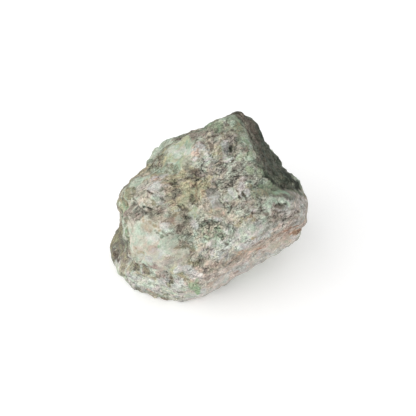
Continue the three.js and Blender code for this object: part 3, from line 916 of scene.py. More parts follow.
RIGHT = patches(
    ("ledge", Tint.SAGE, ((-27, 41), (-23, 36), (-18, 31)), 1.9, 0.95, 0.5, Tint.GREY_GREEN, 2.0),
    ("ledge's bright green", Tint.SEA_GREEN, ((-22, 33), (-20, 31), (-17, 28)),
     1.0, 0.9, 0.6, None, 3.0, 0.1),
    ("ledge's mint foot", Tint.MINT, ((-33, 35), (-30, 32), (-27, 29)),
     1.6, 0.9, 0.6, Tint.PALE_GREEN, 1.8, 0.2),
    ("ledge's olive end", Tint.OLIVE, ((-36, 41), (-32, 39)), 1.5, 0.8, 0.8, Tint.GREY_GREEN, 1.6, 0.4),
    ("green foot of the dark face", Tint.MOSS, ((-11, 26), (-9, 22), (-4, 16)), 0.8, 0.7, 0.6),
    ("dark knob on the lobe", Tint.SLATE, ((-22, 28), (-21, 26)), 0.9, 0.9, 0.5),
    ("knob's lilac spot", Tint.LILAC_GREY, ((-17, 26),), 0.6, 0.85, 0.5),
    ("knob's rosy side", Tint.ROSE, ((-21, 22), (-15, 20)), 1.1, 0.8, 0.6, Tint.LILAC_GREY, 1.4),
    ("lobe's mint spot", Tint.MINT, ((-26, 26), (-25, 24)), 0.9, 0.9, 0.6),
    ("lobe's grey face", Tint.LILAC_GREY, ((-16, 17), (-17, 11), (-19, 5)),
     2.6, 0.85, 0.8, Tint.LILAC_WHITE, 1.8),
    ("lobe's brown", Tint.TAUPE, ((-25, 19), (-22, 15)), 1.4, 0.8, 0.8, Tint.LILAC_GREY, 1.4, 0.6),
    ("white ground below the ledge", Tint.WHITE, ((-38, 31), (-39, 28)),
     1.1, 0.9, 0.7, Tint.PALE_GREEN, 1.5, 0.2),
    ("mint ground below the ledge", Tint.MINT, ((-38, 35), (-37, 33)), 1.0, 0.9, 0.7, None, 3.0, 0.2),
    ("brown strokes under the ledge", Tint.BROWN, ((-33, 29), (-30, 27), (-27, 27)), 0.5),
    ("second brown strokes", Tint.BROWN, ((-36, 27), (-32, 24), (-28, 22)), 0.5),
    ("third brown strokes", Tint.BROWN, ((-41, 35), (-42, 30), (-40, 27)), 0.5),
    ("bright green spot", Tint.PALE_GREEN, ((-47, 35), (-45, 34)), 0.9, 0.9, 0.6, Tint.WHITE, 1.5, 0.1),
    ("dark spot by it", Tint.UMBER, ((-48, 32), (-46, 30)), 0.5, 0.9, 0.6),
    ("black spot on the slope", Tint.UMBER, ((-53, 38),), 0.6, 0.9, 0.6),
    ("rust marks on the slope", Tint.ROSE_BROWN, ((-55, 32), (-50, 31)), 0.8, 0.75, 0.9, Tint.TAN, 1.2, 0.6),
    ("straw slope", Tint.STRAW, ((-64, 30), (-57, 28), (-50, 25)), 2.0, 0.8, 0.8, Tint.CREAM, 2.5),
    ("pale spot on the slope", Tint.PALE_GREEN, ((-45, 26), (-43, 24)), 1.1, 0.85, 0.7, None, 3.0, 0.2),
    ("taupe slope", Tint.ROSE_GREY, ((-38, 24), (-33, 20), (-29, 18)), 1.8, 0.85, 0.8, Tint.TAUPE, 1.5, 0.7),
    ("rosy slope", Tint.ROSE, ((-40, 9), (-36, 12), (-29, 11)), 2.0, 0.8, 0.7, Tint.PINK_WHITE, 1.8, 0.4),
)

LOWER_MIDDLE = patches(
    ("cream above the sage", Tint.BUFF, ((-96, 41), (-92, 40), (-90, 43)),
     1.6, 0.85, 0.8, Tint.CREAM, 1.8, 0.4),
    ("apricot streak", Tint.APRICOT, ((-84, 39), (-77, 40), (-71, 40)), 1.3, 0.6, 0.6, Tint.BUFF, 2.0, 0.4),
    ("apricot's rosy foot", Tint.ROSE, ((-76, 38), (-71, 36), (-66, 34)), 2.0, 0.75, 0.6, Tint.BUFF, 2.0),
    ("white spot below the apricot", Tint.WHITE, ((-81, 35), (-78, 34)),
     1.2, 0.9, 0.5, Tint.LILAC_WHITE, 2.5, 0.05),
    ("sage spot", Tint.STRAW_GREEN, ((-105, 41), (-106, 38), (-106, 35)),
     1.5, 0.9, 0.4, Tint.PALE_GREEN, 2.5, 0.1),
    ("white spot under the sage", Tint.WHITE, ((-105, 32), (-101, 30)),
     1.6, 0.95, 0.4, Tint.LILAC_WHITE, 3.0, 0.1),
    ("dark specks", Tint.BROWN, ((-95, 35), (-95, 33)), 0.6, 0.8, 0.9),
    ("more dark specks", Tint.BROWN, ((-88, 32), (-86, 31)), 0.5, 0.8, 0.9),
    ("moss speck field", Tint.GREY_GREEN, ((-92, 29), (-86, 29), (-80, 28)),
     1.8, 0.7, 0.9, Tint.BUFF, 1.2, 1.0),
    ("lower speck field", Tint.SAGE, ((-90, 25), (-84, 24), (-78, 23)), 1.8, 0.75, 1.0, Tint.BUFF, 1.2, 0.8),
    ("dark speck field", Tint.SLATE, ((-68, 28), (-67, 26), (-69, 25)), 0.9, 0.8, 0.9, Tint.MOSS, 1.2, 0.5),
    ("olive line", Tint.OLIVE_BROWN, ((-92, 21), (-84, 21)), 0.5, 0.8),
    ("lower white ground", Tint.PALE_GREEN, ((-86, 18), (-81, 18), (-80, 15)),
     1.7, 0.9, 0.8, Tint.WHITE, 1.8, 0.1),
    ("leaf green speck", Tint.LEAF_GREEN, ((-84, 17), (-84, 16)), 0.6, 0.9, 0.5),
    ("specks by the white ground", Tint.UMBER, ((-76, 18), (-74, 16)), 0.5),
    ("pale wedge", Tint.PALE_GREEN, ((-62, 22), (-56, 21), (-47, 21)), 2.5, 0.95, 0.35, Tint.WHITE, 2.5),
    ("apricot spot", Tint.TAN, ((-55, 15), (-53, 15)), 0.9, 0.9, 0.5, Tint.APRICOT, 1.5, 0.1),
    ("brown by the apricot spot", Tint.BROWN, ((-59, 14), (-58, 12)), 0.45, 0.85, 0.7),
    ("lilac-white slope", Tint.LILAC_WHITE, ((-66, 11), (-58, 10), (-49, 11), (-42, 12)),
     2.0, 0.9, 0.6, Tint.WHITE, 1.8),
    ("dark stroke", Tint.BROWN, ((-80, 12), (-76, 10)), 0.5),
    ("pale lower ground", Tint.CREAM, ((-90, 10), (-84, 8), (-74, 5)),
     2.4, 0.85, 0.6, Tint.LILAC_WHITE, 1.8, 0.4),
    ("grey beside the bulge", Tint.TAUPE, ((-112, 26), (-106, 24), (-108, 18)),
     1.8, 0.8, 0.8, Tint.BUFF, 1.4, 0.7),
    ("moss flecks beside the bulge", Tint.MOSS, ((-112, 20), (-104, 16), (-98, 13)),
     1.0, 0.7, 0.9, Tint.PALE_GREEN, 1.2, 0.6),
    ("black lines above the bulge", Tint.UMBER, ((-115, 28), (-112, 25)), 0.5, 0.9, 0.7),
    ("brown curve", Tint.BROWN, ((-113, 31), (-110, 28)), 0.5, 0.8),
    ("brown crease", Tint.OLIVE_BROWN, ((-114, 12), (-109, 12), (-104, 12), (-100, 10)), 0.6, 0.8, 0.7),
    ("crease's dark end", Tint.BROWN, ((-102, 9), (-99, 6)), 0.4, 0.85, 0.7),
    ("lilac past the crease", Tint.LILAC_GREY, ((-96, 12), (-91, 12)), 1.5, 0.8, 0.9, Tint.BUFF, 1.5, 0.4),
    ("cream below the crease", Tint.CREAM, ((-110, 8), (-105, 8)), 1.6, 0.85, 0.8, Tint.BUFF, 1.6, 0.1),
    ("tan corner", Tint.CREAM, ((-101, 3), (-98, 2), (-97, 0)), 1.6, 0.8, 0.6, Tint.STRAW, 2.0, 0.4),
    ("lilac below the corner", Tint.LILAC_GREY, ((-93, 8), (-89, 4)), 1.6, 0.8, 0.9, Tint.BUFF, 1.8, 0.5),
)

BULGE_AND_HEEL = patches(
    ("bulge's buff top", Tint.CREAM, ((-138, 25), (-134, 25), (-127, 26)), 1.8, 0.9, 0.7, Tint.TAN, 1.8, 0.2),
    ("brown above the bulge", Tint.TAUPE, ((-137, 29), (-131, 29), (-125, 29)),
     1.6, 0.85, 0.8, Tint.BUFF, 1.6, 0.5),
    ("bulge's cream side", Tint.PALE_GREEN, ((-142, 17), (-139, 19)), 1.6, 0.85, 0.7, Tint.MINT, 2.0, 0.1),
    ("bulge's olive curve", Tint.GREY_GREEN, ((-149, 18), (-144, 15), (-142, 11)), 0.5, 0.85, 0.6),
    ("bulge's mint side", Tint.MINT, ((-142, 12), (-140, 8)), 1.4, 0.7, 0.8, Tint.CREAM, 1.6, 0.1),
    ("bulge's mint middle", Tint.MINT, ((-126, 17), (-120, 18), (-116, 15)),
     1.5, 0.6, 0.8, Tint.PALE_GREEN, 1.8, 0.15),
    ("bulge's rust spot", Tint.TAN, ((-137, 20), (-133, 20)), 0.9, 0.6, 0.7, Tint.BUFF, 1.5, 0.1),
    ("bulge's lilac crown", Tint.LILAC_WHITE, ((-125, 26), (-121, 26)), 1.3, 0.85, 0.8, Tint.WHITE, 1.6, 0.2),
    ("bulge's dark lines", Tint.STONE_GREY, ((-124, 23), (-121, 22), (-117, 21)), 0.4),
    ("bulge's dark flecks", Tint.MOSS, ((-128, 21), (-124, 19), (-120, 20)), 0.4, 0.85, 0.9),
    # The bulge's white crown is partly the stone's own white and partly a painted highlight.
    ("bulge's white crown", Tint.WHITE, ((-132, 15), (-127, 16)), 1.6, 0.7, 0.8, None, 3.0, 0.0),
    ("bulge's rosy spot", Tint.ROSE, ((-130, 8), (-127, 8)), 1.4, 0.65, 0.8, Tint.BUFF, 1.6, 0.1),
    ("bulge's tan foot", Tint.BUFF, ((-136, 3), (-132, 3)), 1.5, 0.85, 0.8, Tint.TAN, 1.6, 0.1),
    ("bulge's green fleck", Tint.LEAF_GREEN, ((-123, 11),), 0.45, 0.8, 0.6),
    ("bulge's white foot", Tint.LILAC_WHITE, ((-130, 2), (-125, 4), (-121, 6)),
     1.8, 0.85, 0.7, Tint.CREAM, 2.0, 0.0),
    ("bulge's white side", Tint.WHITE, ((-119, 11), (-117, 8)), 1.6, 0.75, 0.8, Tint.PALE_GREEN, 2.0, 0.1),
    ("bulge's edge line", Tint.GREY_GREEN, ((-151, 17), (-154, 8), (-154, -2), (-154, -10)),
     1.1, 0.85, 0.7, Tint.OLIVE, 2.0, 0.4),
    ("bulge's shaded side", Tint.STONE_GREY, ((-151, 17), (-156, 10), (-160, 3)),
     1.2, 0.85, 0.7, Tint.GREY_GREEN, 1.6, 0.4),
    ("bulge's green edge", Tint.LEAF_GREEN, ((-160, 4), (-156, 2), (-153, 1)), 0.7, 0.8, 0.7),
    # Below the bulge: the crevice and the dark crease are partly dark rock and partly a painted shadow under
    # the bulge.
    ("crevice below the bulge", Tint.BROWN, ((-131, -6), (-126, -5), (-121, -2)),
     0.8, 0.9, 0.5, Tint.UMBER, 1.4, 0.6),
    ("dark crease below the bulge", Tint.UMBER, ((-137, -9), (-131, -9), (-127, -8)), 0.6, 0.85, 0.6),
    # The heel's dark tints are partly its own colours and partly painted shade, as it lies behind the bulge.
    ("heel's olive top", Tint.OLIVE_BROWN, ((-179, -27), (-177, -22), (-170, -14), (-163, -7)),
     2.2, 0.9, 0.6, Tint.OLIVE, 1.8, 0.5),
    ("heel's slate side", Tint.SLATE, ((-165, -13), (-162, -13), (-164, -18)),
     1.2, 0.85, 0.7, Tint.STONE_GREY, 1.5, 0.5),
    ("heel's dark foot", Tint.UMBER, ((-171, -25), (-166, -25), (-160, -25)),
     0.9, 0.9, 0.7, Tint.BROWN, 1.5, 0.6),
    ("heel's taupe side", Tint.TAUPE, ((-162, -19), (-159, -22)), 1.2, 0.85, 0.7, Tint.OLIVE, 1.4, 0.4),
    ("heel's olive foot", Tint.OLIVE, ((-161, -22), (-155, -21), (-151, -25)),
     1.9, 0.85, 0.7, Tint.TAUPE, 1.8, 0.5),
    ("heel's crease", Tint.BROWN, ((-157, -10), (-156, -15), (-153, -19)), 0.5, 0.85, 0.7),
)

TOE = patches(
    ("toe's taupe top", Tint.TAUPE, ((-148, -21), (-142, -19)), 1.7, 0.9, 0.8, Tint.OLIVE, 1.4, 0.5),
    ("toe's olive ground", Tint.OLIVE, ((-136, -15), (-132, -16)), 1.4, 0.85, 0.8, Tint.TAUPE, 1.6, 0.4),
    ("toe's straw ground", Tint.STRAW, ((-140, -22), (-134, -21), (-129, -20)),
     1.7, 0.8, 0.7, Tint.BUFF, 1.8, 0.4),
    ("toe's pale side", Tint.LILAC_WHITE, ((-144, -30), (-138, -27)),
     2.0, 0.9, 0.7, Tint.PALE_GREEN, 2.0, 0.2),
    ("toe's dark dot", Tint.UMBER, ((-140, -28),), 0.45, 0.9, 0.4),
    ("toe's lilac ground", Tint.LILAC_GREY, ((-122, -5), (-123, -13), (-119, -14)),
     2.3, 0.9, 0.7, Tint.ROSE_GREY, 2.0),
    ("toe's slate spot", Tint.SLATE, ((-126, -18), (-124, -17)), 1.0, 0.8, 0.7, Tint.BUFF, 1.5, 0.4),
    ("toe's white foot", Tint.WHITE, ((-132, -25), (-126, -24)), 1.5, 0.8, 0.8, Tint.PALE_GREEN, 1.8, 0.2),
    ("toe's second dark dot", Tint.UMBER, ((-126, -28),), 0.45, 0.9, 0.4),
    ("toe's brown strokes", Tint.OLIVE_BROWN, ((-115, -14), (-114, -19), (-116, -22)),
     0.8, 0.85, 0.8, Tint.OLIVE, 1.2, 0.5),
    ("greenish buff ground", Tint.PALE_GREEN, ((-112, -3), (-108, -7), (-104, -9)),
     1.7, 0.85, 0.8, Tint.STRAW, 1.8, 0.2),
    ("white streak by the toe", Tint.LILAC_WHITE, ((-107, -2), (-101, -5), (-96, -8)),
     1.8, 0.95, 0.5, Tint.WHITE, 1.8),
    ("white foot by the leaf green", Tint.LILAC_WHITE, ((-111, -21), (-110, -17)),
     1.6, 0.9, 0.7, Tint.WHITE, 1.8, 0.1),
    ("purple-brown mark", Tint.BROWN, ((-105, -12), (-102, -11)), 0.5, 0.9, 0.6),
    ("leaf green patch", Tint.SAGE, ((-100, -12), (-97, -11)), 1.2, 0.8, 0.7, Tint.OLIVE, 1.5, 0.2),
    ("lower leaf green patch", Tint.LEAF_GREEN, ((-98, -15), (-98, -20), (-97, -26)),
     1.9, 0.85, 0.5, Tint.SAGE, 2.0),
    ("toe's brown rim", Tint.ROSE_BROWN, ((-134, -33), (-130, -34)), 0.7, 0.8),
    ("toe's second brown rim", Tint.OLIVE_BROWN, ((-124, -38), (-118, -38), (-112, -37)),
     0.8, 0.8, 0.8, Tint.BUFF, 1.5, 0.5),
    ("toe's cream foot", Tint.CREAM, ((-122, -31), (-115, -31)), 1.8, 0.85, 0.7, Tint.MINT, 2.0, 0.2),
    ("dark green stroke", Tint.MOSS, ((-111, -27), (-107, -27)), 0.5, 0.9, 0.6),
    ("mint rim", Tint.MINT, ((-106, -35), (-100, -37)), 1.5, 0.8, 0.7, Tint.PALE_GREEN, 1.8, 0.2),
)

LOWER_BAND = patches(
    ("band's brown ground", Tint.ROSE_GREY, ((-88, -4), (-82, -5), (-76, -3)),
     1.6, 0.75, 0.7, Tint.BUFF, 2.0, 0.5),
    ("band's second brown ground", Tint.PINK_WHITE, ((-91, -10), (-84, -12), (-77, -10)),
     2.1, 0.8, 0.6, Tint.ROSE_GREY, 2.0, 0.4),
    ("band's brown curls", Tint.BROWN, ((-80, -2), (-76, -4), (-74, -1)), 0.4, 0.6, 0.7),
    ("band's rosy streak", Tint.SALMON, ((-63, 2), (-55, -1), (-48, -3)), 2.0, 0.8, 0.6, Tint.ROSE, 1.6),
    ("band's lower rosy streak", Tint.ROSE_BROWN, ((-77, -2), (-70, -1), (-64, -3)),
     0.7, 0.65, 0.7, Tint.SALMON, 1.6, 0.6),
    ("band's brown line", Tint.BROWN, ((-72, 0), (-66, -1), (-60, -2)), 0.3, 0.6),
    ("band's reddish spot", Tint.RUST, ((-45, -7), (-43, -8)), 0.7, 0.75, 0.7),
    ("band's right streak", Tint.SALMON, ((-44, 0), (-42, 2), (-39, 4)),
     0.9, 0.75, 0.8, Tint.ROSE_BROWN, 1.5, 0.4),
    ("band's rosy brown", Tint.ROSE_BROWN, ((-34, 3), (-27, 2), (-21, -3)),
     2.1, 0.85, 0.8, Tint.ROSE, 1.8, 0.6),
    ("rust line", Tint.RUST, ((-29, 6), (-24, 4), (-19, 3)), 0.7, 0.8, 0.8, Tint.ROSE_BROWN, 1.4, 0.6),
    ("second rust line", Tint.RUST, ((-22, -5), (-18, -4), (-15, -3)),
     0.7, 0.8, 0.8, Tint.ROSE_BROWN, 1.4, 0.5),
    ("rust end", Tint.APRICOT, ((-18, -4), (-14, -6), (-11, -7)), 1.2, 0.8, 0.6, Tint.RUST, 1.5, 0.6),
    ("white under the band", Tint.ROSE, ((-60, -15), (-54, -13), (-47, -10)),
     1.8, 0.75, 0.6, Tint.PINK_WHITE, 1.8, 0.5),
    ("grey right underside", Tint.BUFF, ((-32, -8), (-27, -6), (-22, -10)), 2.2, 0.85, 0.6, Tint.ROSE, 2.5),
    ("lilac foot of the band", Tint.LILAC_WHITE, ((-78, -24), (-68, -24), (-60, -24)),
     1.8, 0.85, 0.7, Tint.LILAC_GREY, 1.8, 0.2),
    ("thin rust line", Tint.ROSE_BROWN, ((-67, -34), (-61, -29)), 0.5, 0.7, 0.7),
    # The lower rims face down towards the floor: their white is partly the stone's pale colour and partly
    # painted light.
    ("pink lower rim", Tint.WHITE, ((-88, -31), (-82, -31), (-74, -32)),
     2.3, 0.9, 0.6, Tint.PINK_WHITE, 2.5, 0.2),
    ("grey lower rim", Tint.WHITE, ((-99, -34), (-93, -30)), 1.5, 0.85, 0.7, Tint.LILAC_WHITE, 1.8, 0.2),
)

# The sides that face away from the front light, in broad grounds.
BACK_AND_SIDES = patches(
    ("back's green", Tint.MINT, ((132, 24), (118, 16), (102, 6)), 9.0, 0.85, 0.9, Tint.PALE_GREEN, 5.0, 0.2),
    ("back's moss", Tint.MOSS, ((96, 34), (84, 26), (76, 14)), 5.0, 0.8, 1.0, Tint.STONE_GREY, 3.0, 0.55),
    ("back's tan", Tint.TAN, ((70, 30), (58, 20), (50, 8)), 6.0, 0.85, 1.0, Tint.STRAW, 3.0, 0.5),
    ("back's brown", Tint.BROWN, ((62, 4), (74, -8), (84, -18)), 4.5, 0.8, 1.0, Tint.TAUPE, 3.0, 0.6),
    ("back's cream", Tint.CREAM, ((110, -8), (98, -16), (92, -28)), 5.5, 0.85, 0.9, Tint.BUFF),
    ("back's rosy side", Tint.ROSE_GREY, ((30, -4), (42, -14), (50, -26)),
     5.0, 0.8, 0.9, Tint.ROSE, 3.0, 0.5),
    ("back's slate", Tint.SLATE, ((24, 8), (14, -2), (10, -12)), 4.5, 0.85, 0.8, Tint.MOSS, 3.0, 0.55),
    ("back's dark cracks", Tint.BROWN, ((150, 30), (128, 24), (104, -4), (96, -26)), 0.35, 0.7, 0.9),
    ("back's second dark crack", Tint.BROWN, ((84, 40), (52, 24), (24, 14)), 0.35, 0.7, 0.9),
    ("back's leaf green", Tint.LEAF_GREEN, ((124, 4), (118, -4)), 2.8, 0.55, 0.8, Tint.SAGE, 2.0, 0.5),
    ("back left's olive", Tint.OLIVE, ((158, 18), (150, 6), (152, -8)), 5.0, 0.85, 0.9, Tint.TAN, 3.0, 0.5),
    ("back left's grey", Tint.GREY, ((176, 2), (168, -8), (164, -20)), 5.0, 0.85, 0.9, Tint.TAUPE, 3.0, 0.5),
    ("back left's white", Tint.WHITE, ((142, -18), (132, -28)), 4.0, 0.85, 0.8, Tint.PALE_GREEN, 3.0, 0.2),
    ("right's white ground", Tint.CREAM, ((-2, -15), (-12, -22), (2, -26)), 4.5, 0.8, 0.8, Tint.LILAC_WHITE),
    ("right's rust", Tint.ROSE_BROWN, ((-8, -4), (0, -8)), 1.6, 0.6, 0.9, Tint.RUST, 1.6, 0.4),
    ("right's mint", Tint.MINT, ((14, -24), (26, -30)), 4.5, 0.85, 0.8, Tint.BUFF),
    # These two carry the dark face's painted shade on round the hidden side, partly with the rock's own dark
    # colour.
    ("far border of the dark face", Tint.SLATE, ((58, 36), (46, 30), (36, 24), (24, 14)),
     4.5, 0.55, 0.9, Tint.MOSS, 2.0, 0.6),
    ("lobe's dark side", Tint.DEEP_GREEN, ((14, 20), (10, 14), (8, 8)), 3.0, 0.6, 0.8, Tint.SLATE, 1.8, 0.5),
)

PATCHES = (
    GROUNDS
    + CREST_AND_SCOOP
    + HOLE_AND_GREY_GROUND
    + LEFT_BLOCK
    + TAN_MIDDLE
    + DARK_FACE
    + RIGHT
    + LOWER_MIDDLE
    + BULGE_AND_HEEL
    + TOE
    + LOWER_BAND
    + BACK_AND_SIDES
)

CALM_PLACES = (
    CalmPlace("big bulge", ((-144, 14), (-130, 17), (-118, 8)), 10.0, 1.0),
    CalmPlace("scoop", ((146, 50), (160, 58), (170, 62), (130, 66)), 6.0, 1.0),
    CalmPlace("dark face", ((54, 46), (36, 43), (18, 40), (2, 32)), 9.0, 0.4),
    CalmPlace("straw hollow", ((-118, 51), (-119, 46)), 2.6, 0.7),
    CalmPlace("lilac hollow", ((-81, 56), (-79, 47)), 2.4, 0.7),
    CalmPlace("mint cloud", ((-52, 54), (-62, 50)), 2.4, 0.6),
    CalmPlace("apricot and sage", ((-106, 38), (-92, 41), (-76, 40)), 2.4, 0.6),
    CalmPlace("pale wedge", ((-62, 21), (-51, 20), (-40, 14)), 3.0, 0.7),
    CalmPlace("white block", ((-158, 41), (-146, 47)), 3.0, 0.6),
    CalmPlace("green ledge", ((-30, 40), (-21, 34), (-13, 25)), 3.0, 0.8),
    CalmPlace("peak", ((88, 60), (66, 64), (42, 65)), 5.0, 0.5, 0.4),
    CalmPlace("lower edge", ((-92, -34), (-72, -32), (-52, -20), (-30, -8)), 8.0, 0.9),
    CalmPlace("rosy band", ((-84, -12), (-66, -2), (-44, 4), (-28, 2)), 5.0, 0.5, 0.4),
    CalmPlace("heel", ((-174, -14), (-162, -24)), 7.0, 0.8),
    CalmPlace("left ridge", ((-174, 22), (-178, 38)), 5.0, 0.6),
    CalmPlace("back's green", ((132, 24), (118, 16), (102, 6)), 9.0, 0.7),
)


@dataclass(frozen=True)
class PatchPainter:
    """Works out how far each patch covers each point of the stone, with ragged edges.

    The edges are where the S-curve that gives the cover starts and ends, in widths inside the patch's
    border. Further outside than the margin and the raggedness, in widths too, there is no cover. The
    bare veins are the strength of the veins where no patch lies.
    """

    form: StoneForm
    edges: tuple[float, float] = (-0.25, 0.35)
    margin: float = 1.0
    edge_wavelength: float = 3.2
    edge_octaves: int = 4
    edge_seed: int = 121
    wander_wavelength: float = 2.6
    wander: float = 0.8
    wander_seed: int = 211
    fleck_edge: float = 0.12
    fleck_octaves: int = 3
    fleck_seed: int = 2221
    seed_step: int = 7
    bare_veins: float = 0.3

    def cover(self, points: np.ndarray, place: Patch | CalmPlace, index: int) -> np.ndarray:
        """One place's cover: its share of an S-curve of 1 - distance / width, with noise added to that.

        Args:
            points: on the ground, about the heart.
            place: the patch or calm place.
            index: its number in the list, which picks its noise.

        Returns:
            One number per point, from 0 to the place's share.
        """
        inside = 1.0 - path_distance(points, self.form.ground_points(place.line)) / place.width
        near = inside > -self.margin - place.ragged
        seed = self.edge_seed + self.seed_step * index
        noise = RockNoise.rough(points[near], self.edge_wavelength, self.edge_octaves, seed)
        cover = np.zeros(len(points))
        cover[near] = place.share * smooth_step(inside[near] + place.ragged * noise, *self.edges)
        return cover

    def flecked(self, points: np.ndarray, patch: Patch, index: int) -> np.ndarray:
        """A patch's own colours: its tint, with its second tint where a noise is high.

        Args:
            points: on the ground, about the heart.
            patch: the patch.
            index: its number in the list, which picks its noise.

        Returns:
            One colour per point, in linear light.
        """
        tint = np.array(patch.tint.linear())
        if patch.fleck is None:
            return np.broadcast_to(tint, (len(points), 3))
        seed = self.fleck_seed + self.seed_step * index
        noise = RockNoise.rough(points, patch.fleck_size, self.fleck_octaves, seed)
        share = smooth_step(noise, -self.fleck_edge, self.fleck_edge)[:, None]
        return tint + share * (np.array(patch.fleck.linear()) - tint)

    def paint(self, points: np.ndarray) -> dict[str, np.ndarray]:
        """Lays the patches over each other in order.

        Args:
            points: on the ground, about the heart.

        Returns:
            The attributes by name: the colour at each point, with how far it covers the base coat as
            the fourth part, and the strength of the dark veins.
        """
        aside = RockNoise.wandered(points, self.wander_wavelength, self.wander, self.wander_seed)
        colour = np.zeros((len(points), 4))
        veins = np.full(len(points), self.bare_veins)
        for index, patch in enumerate(PATCHES):
            cover = self.cover(aside, patch, index)
            laid = cover > 0
            cover, below = cover[laid], colour[laid, 3]
            total = cover + below * (1.0 - cover)
            own = self.flecked(aside[laid], patch, index)
            colour[laid, :3] += (cover / total)[:, None] * (own - colour[laid, :3])
            colour[laid, 3] = total
            veins[laid] += cover * (patch.veins - veins[laid])
        return {"patch_colour": colour, "veins": veins}

    def calmed(self, points: np.ndarray) -> np.ndarray:
        """How smooth the ground is at each point, from 0 to 1: the cover of the calm places."""
        broken = np.ones(len(points))
        for index, place in enumerate(CALM_PLACES):
            broken *= 1.0 - self.cover(points, place, index)
        return 1.0 - broken


# ---- The mesh ----


@dataclass(frozen=True)
class BallGrid:
    """A ball covered by six square grids, one for each side of a cube, joined at their edges."""

    KEY_SCALE = 1e6

    steps: int = 127

    def rays_and_quads(self) -> tuple[np.ndarray, np.ndarray]:
        """The ball's points and faces. Each is a function of two parameters on a square grid.

        Parameters s and t run from -45 to 45 degrees, and the point is (1, tan s, tan t), turned to the
        side it belongs to and scaled to length 1. Points that two sides share are merged: they are the
        ones with equal keys, which are rounded coordinates.

        Returns:
            Unit vectors, one row each, and quads, one row of four point numbers each.
        """
        slopes = np.tan(np.linspace(-math.pi / 4, math.pi / 4, self.steps + 1))
        s, t = np.meshgrid(slopes, slopes, indexing="ij")
        one = np.ones_like(s)
        sides = ((one, s, t), (-one, -s, t), (-s, one, t), (s, -one, t), (-t, s, one), (t, s, -one))
        points = np.concatenate([np.stack(side, axis=-1).reshape(-1, 3) for side in sides])
        points /= np.linalg.norm(points, axis=1, keepdims=True)
        numbers = np.arange(len(s) ** 2).reshape(s.shape)
        square = np.stack([numbers[:-1, :-1], numbers[1:, :-1], numbers[1:, 1:], numbers[:-1, 1:]], axis=-1)
        quads = np.concatenate([square.reshape(-1, 4) + side * s.size for side in range(len(sides))])
        keys = np.round(points * self.KEY_SCALE).astype(np.int64)
        _, first, merged = np.unique(keys, axis=0, return_index=True, return_inverse=True)
        return points[first], merged.reshape(-1)[quads]


class Skin:
    """A closed surface of points and quads, with the measures that its relief and finish need."""

    def __init__(self, points: np.ndarray, quads: np.ndarray) -> None:
        """Keeps the points and quads.

        Args:
            points: one row each, in millimetres.
            quads: four point numbers in each row, anticlockwise from outside.
        """
        self.points = points
        self.quads = quads
        self.ends = np.concatenate([quads[:, [side, (side + 1) % 4]] for side in range(4)])
        self.neighbours = np.bincount(self.ends[:, 0], minlength=len(points)).astype(float)

    def normals(self) -> np.ndarray:
        """The outward normal at each point: the sum of its quads' normals, each the cross product of
        the quad's diagonals.

        Returns:
            Unit vectors, one row each.
        """
        a, b, c, d = (self.points[self.quads[:, corner]] for corner in range(4))
        across = np.cross(c - a, d - b)
        total = np.zeros_like(self.points)
        for axis in range(3):
            for corner in range(4):
                total[:, axis] += np.bincount(
                    self.quads[:, corner], weights=across[:, axis], minlength=len(self.points)
                )
        return total / np.linalg.norm(total, axis=1, keepdims=True)

    def averaged(self, values: np.ndarray, rounds: int) -> np.ndarray:
        """The values spread to their neighbours: in each round a point goes half way to the mean of those
        next to it.

        Args:
            values: one row per point.
            rounds: how many times.

        Returns:
            The spread values.
        """
        start, end = self.ends.T
        for _ in range(rounds):
            columns = [
                np.bincount(start, weights=values[end, axis], minlength=len(values))
                for axis in range(values.shape[1])
            ]
            values = 0.5 * values + 0.5 * np.stack(columns, axis=1) / self.neighbours[:, None]
        return values

    def hollowness(self, rounds: int) -> np.ndarray:
        """How deep each point lies below the surface smoothed by that many rounds, in millimetres."""
        gap = self.averaged(self.points, rounds) - self.points
        return np.sum(gap * self.normals(), axis=1)


# ---- The finish ----


